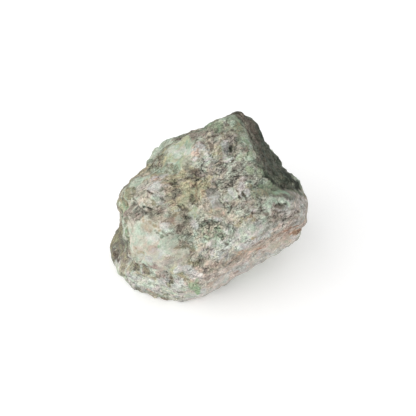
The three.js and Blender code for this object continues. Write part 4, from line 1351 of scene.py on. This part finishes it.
class NodeSheet:
    """A material's nodes, with short calls for the kinds that the finishes use.

    MIDDLE is the middle value of a noise. The noise that bends a pattern is BEND_GAIN times the reach.
    """

    MIDDLE = 0.5
    BEND_DETAIL = 2.0
    BEND_GAIN = 4.0

    def __init__(self, material: bpy.types.Material) -> None:
        """Empties the material's node tree and gives it a shader and an output.

        Args:
            material: the material to fill.
        """
        material.use_nodes = True
        self.tree = material.node_tree
        self.tree.nodes.clear()
        self.shader = self.new("BsdfPrincipled")
        self.new("OutputMaterial", {"Surface": self.shader.outputs["BSDF"]})
        self.place = self.new("TexCoord").outputs["Object"]

    def new(
        self, kind: str, inputs: dict[str | int, object] | None = None, **settings: str
    ) -> bpy.types.Node:
        """A new node.

        Args:
            kind: the name of its type, without ShaderNode in front.
            inputs: what goes into its inputs, by name or number.
            **settings: its own settings by name.

        Returns:
            The node.
        """
        node = self.tree.nodes.new("ShaderNode" + kind)
        for name, value in settings.items():
            setattr(node, name, value)
        self.feed(node, inputs or {})
        return node

    def feed(self, node: bpy.types.Node, inputs: dict[str | int, object]) -> None:
        """Links each input that is given a socket, and sets each that is given a plain value."""
        for name, value in inputs.items():
            if isinstance(value, bpy.types.NodeSocket):
                self.tree.links.new(value, node.inputs[name])
            else:
                node.inputs[name].default_value = value

    def math(self, operation: str, first: object, second: object = 0.0) -> bpy.types.NodeSocket:
        """The result of a Math node on two numbers or sockets."""
        return self.new("Math", {0: first, 1: second}, operation=operation).outputs["Value"]

    def curve(self, value: object, low: float, high: float) -> bpy.types.NodeSocket:
        """An S-curve of a value, from 0 at low to 1 at high."""
        inputs = {"Value": value, "From Min": low, "From Max": high}
        return self.new("MapRange", inputs, interpolation_type="SMOOTHSTEP").outputs["Result"]

    def mapped(self, offset: float, stretch: float = 1.0) -> bpy.types.NodeSocket:
        """The object's coordinates, moved for a fresh pattern and drawn out along the stone's bedding.

        Args:
            offset: how far they are moved along each axis, in metres.
            stretch: how much longer than wide the pattern's grains come out.

        Returns:
            The coordinates.
        """
        turn = Vector((1.0, 0.0, 0.0)).rotation_difference(BEDDING).to_euler()
        inputs = {
            "Vector": self.place, "Location": (offset, offset, offset),
            "Rotation": turn, "Scale": (stretch, 1.0, 1.0),
        }
        return self.new("Mapping", inputs, vector_type="TEXTURE").outputs["Vector"]

    def bent(self, place: bpy.types.NodeSocket, wavelength: float, reach: float) -> bpy.types.NodeSocket:
        """Coordinates moved aside by noise, so that a pattern's edges wander.

        Args:
            place: the coordinates.
            wavelength: the length of the bends, in millimetres.
            reach: how far they carry the pattern, in millimetres.

        Returns:
            The moved coordinates.
        """
        scale = 1.0 / (wavelength * MILLIMETRE)
        noise = self.new("TexNoise", {"Vector": place, "Scale": scale, "Detail": self.BEND_DETAIL})
        gain = (self.BEND_GAIN * reach * MILLIMETRE,) * 3
        inputs = {0: noise.outputs["Color"], 1: gain, 2: place}
        return self.new("VectorMath", inputs, operation="MULTIPLY_ADD").outputs["Vector"]

    def clouds(
        self, place: bpy.types.NodeSocket, wavelength: float,
        detail: float = 4.0, roughness: float = 0.55, swirl: float = 0.0,
    ) -> bpy.types.NodeSocket:
        """Noise over the surface.

        Args:
            place: the coordinates.
            wavelength: in millimetres.
            detail: how many finer octaves are added.
            roughness: how strong each is, as a share of the one before.
            swirl: how far the noise is dragged by itself, in wavelengths.

        Returns:
            The noise's value, from 0 to 1.
        """
        inputs = {
            "Vector": place, "Scale": 1.0 / (wavelength * MILLIMETRE),
            "Detail": detail, "Roughness": roughness, "Distortion": swirl,
        }
        return self.new("TexNoise", inputs).outputs["Fac"]

    def swell(
        self, place: bpy.types.NodeSocket, wavelength: float, detail: float, roughness: float, swirl: float
    ) -> bpy.types.NodeSocket:
        """The same noise with its middle value taken off, so that it runs from -0.5 to 0.5."""
        return self.math("SUBTRACT", self.clouds(place, wavelength, detail, roughness, swirl), self.MIDDLE)

    def cells(self, place: bpy.types.NodeSocket, size: float) -> bpy.types.Node:
        """Cells of a size in millimetres: a Voronoi node."""
        return self.new("TexVoronoi", {"Vector": place, "Scale": 1.0 / (size * MILLIMETRE)})

    def mix(self, share: object, first: object, second: object, blend: str = "MIX") -> bpy.types.NodeSocket:
        """Two colours mixed.

        Args:
            share: 0 gives the first and 1 the second.
            first: a colour or its socket.
            second: the same.
            blend: how the second acts on the first.

        Returns:
            The mixed colour.
        """
        node = self.new("Mix", data_type="RGBA", blend_type=blend)
        below, above = (number for number, socket in enumerate(node.inputs) if socket.type == "RGBA")
        self.feed(node, {"Factor": share, below: first, above: second})
        return next(socket for socket in node.outputs if socket.type == "RGBA")

    def attribute(self, name: str) -> bpy.types.Node:
        """The node that reads one of the mesh's attributes."""
        return self.new("Attribute", attribute_name=name)


class Pattern(Enum):
    """The kinds of grain that make the stone lighter and darker."""

    CLOUDS = "soft clouds, dragged into strokes where they swirl"
    THREADS = "thin winding threads, broken here and there"
    CHIPS = "angular chips, each of one shade"
    SPECKS = "small round specks"


@dataclass(frozen=True)
class Grain:
    """One layer of grain. Its stops say how much light it adds or takes: one stop halves or doubles it.

    The two noises are given by detail and roughness. Threads are broken up where the S-curve of another
    noise is low. Chips and specks fill cells with bent borders, and a speck is full up to its core. The
    width is how far a thread or a speck reaches, and the share is how many cells have a speck.
    """

    CLOUD_NOISE = (1.0, 0.5)
    LINE_NOISE = (2.0, 0.6)
    GAPS = (0.42, 0.58)
    GAP_OFFSET = 0.2
    BEND_SIZES = 2.5
    SPECK_CORE = 0.4

    pattern: Pattern
    size: float
    stops: float
    offset: float
    stretch: float = 1.0
    swirl: float = 0.0
    width: float = 0.02
    share: float = 1.0

    def stops_at(self, sheet: NodeSheet) -> bpy.types.NodeSocket:
        """The layer's light in stops, worked out by nodes.

        Args:
            sheet: the material's nodes.

        Returns:
            The number of stops.
        """
        place = sheet.mapped(self.offset, self.stretch)
        if self.pattern is Pattern.CLOUDS:
            level = sheet.swell(place, self.size, *self.CLOUD_NOISE, self.swirl)
        elif self.pattern is Pattern.THREADS:
            height = sheet.math("ABSOLUTE", sheet.swell(place, self.size, *self.LINE_NOISE, self.swirl))
            line = sheet.curve(height, self.width, 0.0)
            gaps = sheet.clouds(sheet.mapped(self.offset + self.GAP_OFFSET), self.size)
            level = sheet.math("MULTIPLY", line, sheet.curve(gaps, *self.GAPS))
        else:
            cell = sheet.cells(sheet.bent(place, self.BEND_SIZES * self.size, self.swirl), self.size)
            shade = sheet.new("SeparateColor", {"Color": cell.outputs["Color"]}).outputs["Red"]
            if self.pattern is Pattern.CHIPS:
                level = sheet.math("SUBTRACT", shade, sheet.MIDDLE)
            else:
                near = sheet.curve(cell.outputs["Distance"], self.width, self.SPECK_CORE * self.width)
                level = sheet.math("MULTIPLY", near, sheet.math("LESS_THAN", shade, self.share))
        return sheet.math("MULTIPLY", level, self.stops)


@dataclass(frozen=True)
class Veins:
    """Thin winding dark lines, wider and darker where the stone's own vein strength is higher.

    The core is the part of a line's reach that is at its darkest.
    """

    LEAST_REACH = 0.001
    CORE = 0.3

    size: float
    width: float
    stops: float
    offset: float
    stretch: float = 1.0
    swirl: float = 0.0

    def stops_at(self, sheet: NodeSheet, strength: bpy.types.NodeSocket) -> bpy.types.NodeSocket:
        """The light that the lines take, in stops. They run where a noise is close to its middle value.

        Args:
            sheet: the material's nodes.
            strength: the vein strength there.

        Returns:
            The number of stops.
        """
        place = sheet.mapped(self.offset, self.stretch)
        height = sheet.math("ABSOLUTE", sheet.swell(place, self.size, *Grain.LINE_NOISE, self.swirl))
        reach = sheet.math("MAXIMUM", sheet.math("MULTIPLY", strength, self.width), self.LEAST_REACH)
        line = sheet.curve(sheet.math("DIVIDE", height, reach), 1.0, self.CORE)
        return sheet.math("MULTIPLY", sheet.math("MULTIPLY", line, strength), self.stops)


@dataclass(frozen=True)
class Marbling:
    """Two colours grown together in clouds. The edge is how far from the clouds' middle value they blend.

    The bend and the reach are the length and the strength of the bends in their border.
    """

    size: float
    offset: float
    stretch: float
    edge: float
    bend: float = 0.0
    reach: float = 0.0
    detail: float = 4.0

    def mixed(self, sheet: NodeSheet, first: object, second: object) -> bpy.types.NodeSocket:
        """The two colours, mixed by nodes.

        Args:
            sheet: the material's nodes.
            first: the colour, or its socket, where the clouds are thin.
            second: the same where they are thick.

        Returns:
            The mixed colour.
        """
        place = sheet.mapped(self.offset, self.stretch)
        if self.reach:
            place = sheet.bent(place, self.bend, self.reach)
        clouds = sheet.clouds(place, self.size, self.detail)
        share = sheet.curve(clouds, sheet.MIDDLE - self.edge, sheet.MIDDLE + self.edge)
        return sheet.mix(share, first, second)


@dataclass(frozen=True)
class StoneFinish:
    """Dry broken turquoise in host rock: a mottled coat, named patches, grain, veins, painted shade in
    hollows and a painted highlight on ridges.

    Light and dark are counted in stops, and brightest is the most that may be added. The grain has the
    strength plain, and busy times the vein strength more. On calm ground it loses the share calming.
    Painted shade darkens hollows and a painted highlight lightens ridges, each over a range of depths in
    millimetres.
    """

    name: str = STONE_SLOT
    roughness: float = 0.85
    specular: float = 0.25
    rock: Marbling = Marbling(5.0, 0.05, 1.5, 0.08)
    green: Marbling = Marbling(4.0, 0.31, 1.5, 0.08)
    growth: Marbling = Marbling(9.0, 0.73, 1.3, 0.05, 8.0, 1.5)
    drift: Marbling = Marbling(2.2, 0.17, 1.5, 0.12, 3.0, 0.8, 3.0)
    rosier: tuple[float, ...] = (1.05, 0.98, 0.97, 1.0)
    greener: tuple[float, ...] = (0.955, 1.015, 0.985, 1.0)
    grains: tuple[Grain, ...] = (
        Grain(Pattern.CLOUDS, 6.0, 0.8, 0.11, 1.6, 1.0),
        Grain(Pattern.CLOUDS, 3.2, 1.5, 0.23, 1.8, 1.5),
        Grain(Pattern.CLOUDS, 1.7, 0.5, 0.37, 2.0, 1.5),
        Grain(Pattern.CLOUDS, 0.9, 0.9, 0.41, 1.8, 1.0),
        Grain(Pattern.CLOUDS, 0.45, 2.8, 0.53, 1.4),
        Grain(Pattern.CHIPS, 2.4, 0.5, 0.61, 1.8, 0.9),
        Grain(Pattern.CHIPS, 1.3, 0.5, 0.67, 1.6, 0.5),
        Grain(Pattern.THREADS, 5.0, -1.8, 0.71, 1.5, 1.5, 0.016),
        Grain(Pattern.THREADS, 2.6, -1.8, 0.83, 1.5, 1.2, 0.02),
        Grain(Pattern.THREADS, 1.4, -1.2, 0.79, 1.5, 1.0, 0.03),
        Grain(Pattern.THREADS, 2.2, 0.8, 0.87, 1.5, 1.2, 0.016),
        Grain(Pattern.SPECKS, 1.8, -1.3, 0.97, 1.0, 0.3, 0.22, 0.3),
    )
    veins: tuple[Veins, ...] = (
        Veins(3.4, 0.03, -1.8, 1.11, 1.6, 1.3),
        Veins(1.7, 0.03, -1.4, 1.23, 1.4, 1.0),
    )
    plain: float = 0.38
    busy: float = 1.5
    calming: float = 0.45
    # Painted shade in hollows and a painted highlight on ridges, in stops, each over a range of depths.
    hollow_shade: float = -0.8
    hollow_shade_depths: tuple[float, float] = (0.03, 0.2)
    ridge_highlight: float = 0.15
    ridge_highlight_depths: tuple[float, float] = (-0.02, -0.2)
    brightest: float = 0.45
    bump: float = 0.3
    bump_height: float = 0.3
    bump_size: float = 0.7
    bump_noise: tuple[float, float] = (4.0, 0.6)

    def build(self) -> bpy.types.Material:
        """Makes the material: the coat, the patches over it, a drift of hue, light and dark, and a bump.

        Returns:
            The material, ready for the stone's mesh and its attributes.
        """
        material = bpy.data.materials.new(self.name)
        sheet = NodeSheet(material)
        patch = sheet.attribute("patch_colour")
        coat = sheet.mix(patch.outputs["Alpha"], self.coat(sheet), patch.outputs["Color"])
        coat = sheet.mix(1.0, coat, self.drift.mixed(sheet, self.rosier, self.greener), "MULTIPLY")
        light = sheet.math("POWER", 2.0, sheet.math("MINIMUM", self.stops(sheet), self.brightest))
        grit = sheet.clouds(sheet.place, self.bump_size, *self.bump_noise)
        height = self.bump_height * MILLIMETRE
        bump = sheet.new("Bump", {"Strength": self.bump, "Distance": height, "Height": grit})
        sheet.feed(sheet.shader, {
            "Base Color": sheet.mix(1.0, coat, light, "MULTIPLY"), "Roughness": self.roughness,
            "Specular IOR Level": self.specular, "Normal": bump.outputs["Normal"],
        })
        return material

    def coat(self, sheet: NodeSheet) -> bpy.types.NodeSocket:
        """Host rock and turquoise grown together: taupe to buff, crossed by pale green."""
        rock = self.rock.mixed(sheet, Tint.TAUPE.rgba(), Tint.BUFF.rgba())
        green = self.green.mixed(sheet, Tint.GREY_GREEN.rgba(), Tint.PALE_GREEN.rgba())
        return self.growth.mixed(sheet, rock, green)

    def stops(self, sheet: NodeSheet) -> bpy.types.NodeSocket:
        """All light and dark, in stops: the grain, the veins, the painted shade in hollows and the painted
        highlight on ridges.
        """
        total = self.grains[0].stops_at(sheet)
        for grain in self.grains[1:]:
            total = sheet.math("ADD", total, grain.stops_at(sheet))
        strength = sheet.attribute("veins").outputs["Fac"]
        busy = sheet.math("ADD", sheet.math("MULTIPLY", strength, self.busy), self.plain)
        calm = sheet.math("MULTIPLY", sheet.attribute("calm").outputs["Fac"], self.calming)
        left = sheet.math("SUBTRACT", 1.0, calm)
        total = sheet.math("MULTIPLY", sheet.math("MULTIPLY", total, busy), left)
        for veins in self.veins:
            total = sheet.math("ADD", total, veins.stops_at(sheet, strength))
        # Painted shade in the hollows and a painted highlight on the ridges, from the mesh's hollowness.
        hollow = sheet.attribute("hollow").outputs["Fac"]
        hollow_shade_stops = sheet.math("MULTIPLY", sheet.curve(hollow, *self.hollow_shade_depths), self.hollow_shade)
        ridge_highlight_stops = sheet.math("MULTIPLY", sheet.curve(hollow, *self.ridge_highlight_depths), self.ridge_highlight)
        return sheet.math("ADD", total, sheet.math("ADD", hollow_shade_stops, ridge_highlight_stops))


@dataclass(frozen=True)
class FloorFinish:
    """A plain, nearly white floor that glows faintly, though it is no lamp: the glow lights the stone from
    below and lightens its shadow.
    """

    name: str = "pale_floor"
    shade: float = 0.93
    roughness: float = 0.9
    # A glow on the floor, though it is no lamp: it lights the stone from below and lightens its shadow.
    glow: float = 0.22

    def build(self) -> bpy.types.Material:
        """Makes the material.

        Returns:
            The floor's material.
        """
        material = bpy.data.materials.new(self.name)
        sheet = NodeSheet(material)
        sheet.feed(sheet.shader, {
            "Base Color": (self.shade, self.shade, self.shade, 1.0), "Roughness": self.roughness,
            "Emission Color": WHITE_LIGHT, "Emission Strength": self.glow,
        })
        return material


# ---- The stone, its floor, lights and camera ----


@dataclass
class Stone:
    """The one piece: its form, its small relief, its mesh and its finish.

    Hollows are told from ridges by the surface smoothed in that many rounds. The heart's place in the
    scene is known once the stone is built.
    """

    form: StoneForm = field(default_factory=StoneForm)
    relief: FineRelief = field(default_factory=FineRelief)
    grid: BallGrid = field(default_factory=BallGrid)
    finish: StoneFinish = field(default_factory=StoneFinish)
    hollow_rounds: int = 6
    heart: Vector = field(default_factory=Vector)

    def skin(self) -> tuple[Skin, dict[str, np.ndarray]]:
        """Works out the surface about the heart, and what the finish reads from it.

        Returns:
            The skin, in millimetres, and its attributes by name.
        """
        rays, quads = self.grid.rays_and_quads()
        main = rays * self.form.radius(rays)[:, None]
        ground = rays * self.form.ground_radius(rays)[:, None]
        painter = PatchPainter(self.form)
        calm = painter.calmed(ground)
        skin = Skin(main, quads)
        skin.points = main + skin.normals() * self.relief.height(main, calm)[:, None]
        skin.points[:, 2] = np.maximum(skin.points[:, 2], -HEART_HEIGHT)
        hollow = skin.hollowness(self.hollow_rounds)
        return skin, {**painter.paint(ground), "hollow": hollow, "calm": calm}

    def build(self) -> bpy.types.Object:
        """Makes the stone's mesh, centred on the solid's own box, and dresses it.

        Returns:
            The finished object.
        """
        skin, attributes = self.skin()
        low, high = (np.array(corner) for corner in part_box(STONE_NODE))
        middle = (skin.points.min(axis=0) + skin.points.max(axis=0)) / 2 * MILLIMETRE
        shift = (low + high) / 2 - middle
        shift[2] = low[2] + HEART_HEIGHT * MILLIMETRE
        self.heart = Vector(shift)
        points = skin.points * MILLIMETRE + shift
        mesh = bpy.data.meshes.new(PIECE_NAME)
        mesh.from_pydata(points.tolist(), [], skin.quads.tolist())
        for name, values in attributes.items():
            kind, key = ("FLOAT_COLOR", "color") if values.ndim > 1 else ("FLOAT", "value")
            layer = mesh.attributes.new(name, kind, "POINT")
            layer.data.foreach_set(key, values.astype(np.float32).ravel())
        mesh.polygons.foreach_set("use_smooth", np.ones(len(skin.quads), bool))
        mesh.materials.append(self.finish.build())
        mesh.update()
        piece = bpy.data.objects.new(PIECE_NAME, mesh)
        bpy.context.scene.collection.objects.link(piece)
        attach(piece, "root")
        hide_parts(STONE_NODE)
        return piece


@dataclass(frozen=True)
class Floor:
    """The plain floor that the stone lies on."""

    half_width: float = 3.0
    finish: FloorFinish = field(default_factory=FloorFinish)

    def build(self) -> bpy.types.Object:
        """Makes the floor.

        Returns:
            The floor's object.
        """
        w = self.half_width
        mesh = bpy.data.meshes.new("floor")
        mesh.from_pydata([(-w, -w, 0.0), (w, -w, 0.0), (w, w, 0.0), (-w, w, 0.0)], [], [(0, 1, 2, 3)])
        mesh.materials.append(self.finish.build())
        floor = bpy.data.objects.new("floor", mesh)
        bpy.context.scene.collection.objects.link(floor)
        return floor


def aimed(
    name: str, data: bpy.types.ID, target: Vector, towards: Vector, distance: float
) -> bpy.types.Object:
    """Puts a light or a camera into the scene, looking back at its target.

    Args:
        name: the object's name.
        data: the light or camera.
        target: what it looks at.
        towards: the unit vector from there to it.
        distance: how far off it stands, in metres.

    Returns:
        The object.
    """
    placed = bpy.data.objects.new(name, data)
    placed.location = target + distance * towards
    placed.rotation_mode = "QUATERNION"
    placed.rotation_quaternion = towards.to_track_quat("Z", "Y")
    bpy.context.scene.collection.objects.link(placed)
    return placed


@dataclass(frozen=True)
class SoftBox:
    """A square soft light that points at the stone: angles in degrees, lengths in metres, power in watts."""

    name: str
    azimuth: float
    elevation: float
    distance: float
    width: float
    power: float

    def build(self, target: Vector) -> bpy.types.Object:
        """Makes the light.

        Args:
            target: where it points.

        Returns:
            The light's object.
        """
        light = bpy.data.lights.new(self.name, "AREA")
        light.energy = self.power
        light.shape = "SQUARE"
        light.size = self.width
        return aimed(self.name, light, target, Vector(bearing(self.azimuth, self.elevation)), self.distance)


@dataclass(frozen=True)
class Studio:
    """Plain soft light: an even white surround and a soft box from the front left."""

    surround: float = 0.68
    key: SoftBox = SoftBox("key", azimuth=-150, elevation=42, distance=1.1, width=1.6, power=9.0)

    def build(self, target: Vector) -> None:
        """Makes the lights.

        Args:
            target: the middle of the stone.
        """
        world = bpy.data.worlds.new("surround")
        world.use_nodes = True
        background = world.node_tree.nodes["Background"]
        background.inputs["Color"].default_value = WHITE_LIGHT
        background.inputs["Strength"].default_value = self.surround
        bpy.context.scene.world = world
        self.key.build(target)
        bpy.context.scene.view_settings.view_transform = "Standard"


@dataclass(frozen=True)
class StudioCamera:
    """The camera: it looks along +Y and down on the stone. The lens and sensor are in millimetres."""

    azimuth: float = -90.0
    elevation: float = 45.0
    lens: float = 85.0
    sensor: float = 36.0
    view_width: float = 0.16
    shift_x: float = 0.0024
    shift_y: float = -0.0024
    nearest: float = 0.01

    def build(self, target: Vector) -> bpy.types.Object:
        """Makes the camera, as far off as shows the stated width at the target.

        Args:
            target: where it points.

        Returns:
            The camera's object, set as the scene's camera.
        """
        data = bpy.data.cameras.new("camera")
        data.lens = self.lens
        data.sensor_width = self.sensor
        data.shift_x = self.shift_x
        data.shift_y = self.shift_y
        data.clip_start = self.nearest
        distance = self.view_width * self.lens / self.sensor
        camera = aimed("camera", data, target, Vector(bearing(self.azimuth, self.elevation)), distance)
        bpy.context.scene.camera = camera
        return camera


def write_sizes() -> None:
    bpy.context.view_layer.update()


def main() -> None:
    """Builds the stone, its floor, the lights and the camera, and reports the stone, the floor and the
    camera.
    """
    logging.basicConfig(level=logging.INFO, format="%(name)s: %(message)s")
    stone = Stone()
    piece = stone.build()
    LOG.info("%s: %d faces", piece.name, len(piece.data.polygons))
    floor = Floor().build()
    LOG.info("%s: stage", floor.name)
    Studio().build(stone.heart)
    camera = StudioCamera().build(stone.heart)
    distance = (camera.location - stone.heart).length / MILLIMETRE
    LOG.info("%s: %.0f mm from the stone", camera.name, distance)
    write_sizes()


if __name__ == "__main__":
    main()
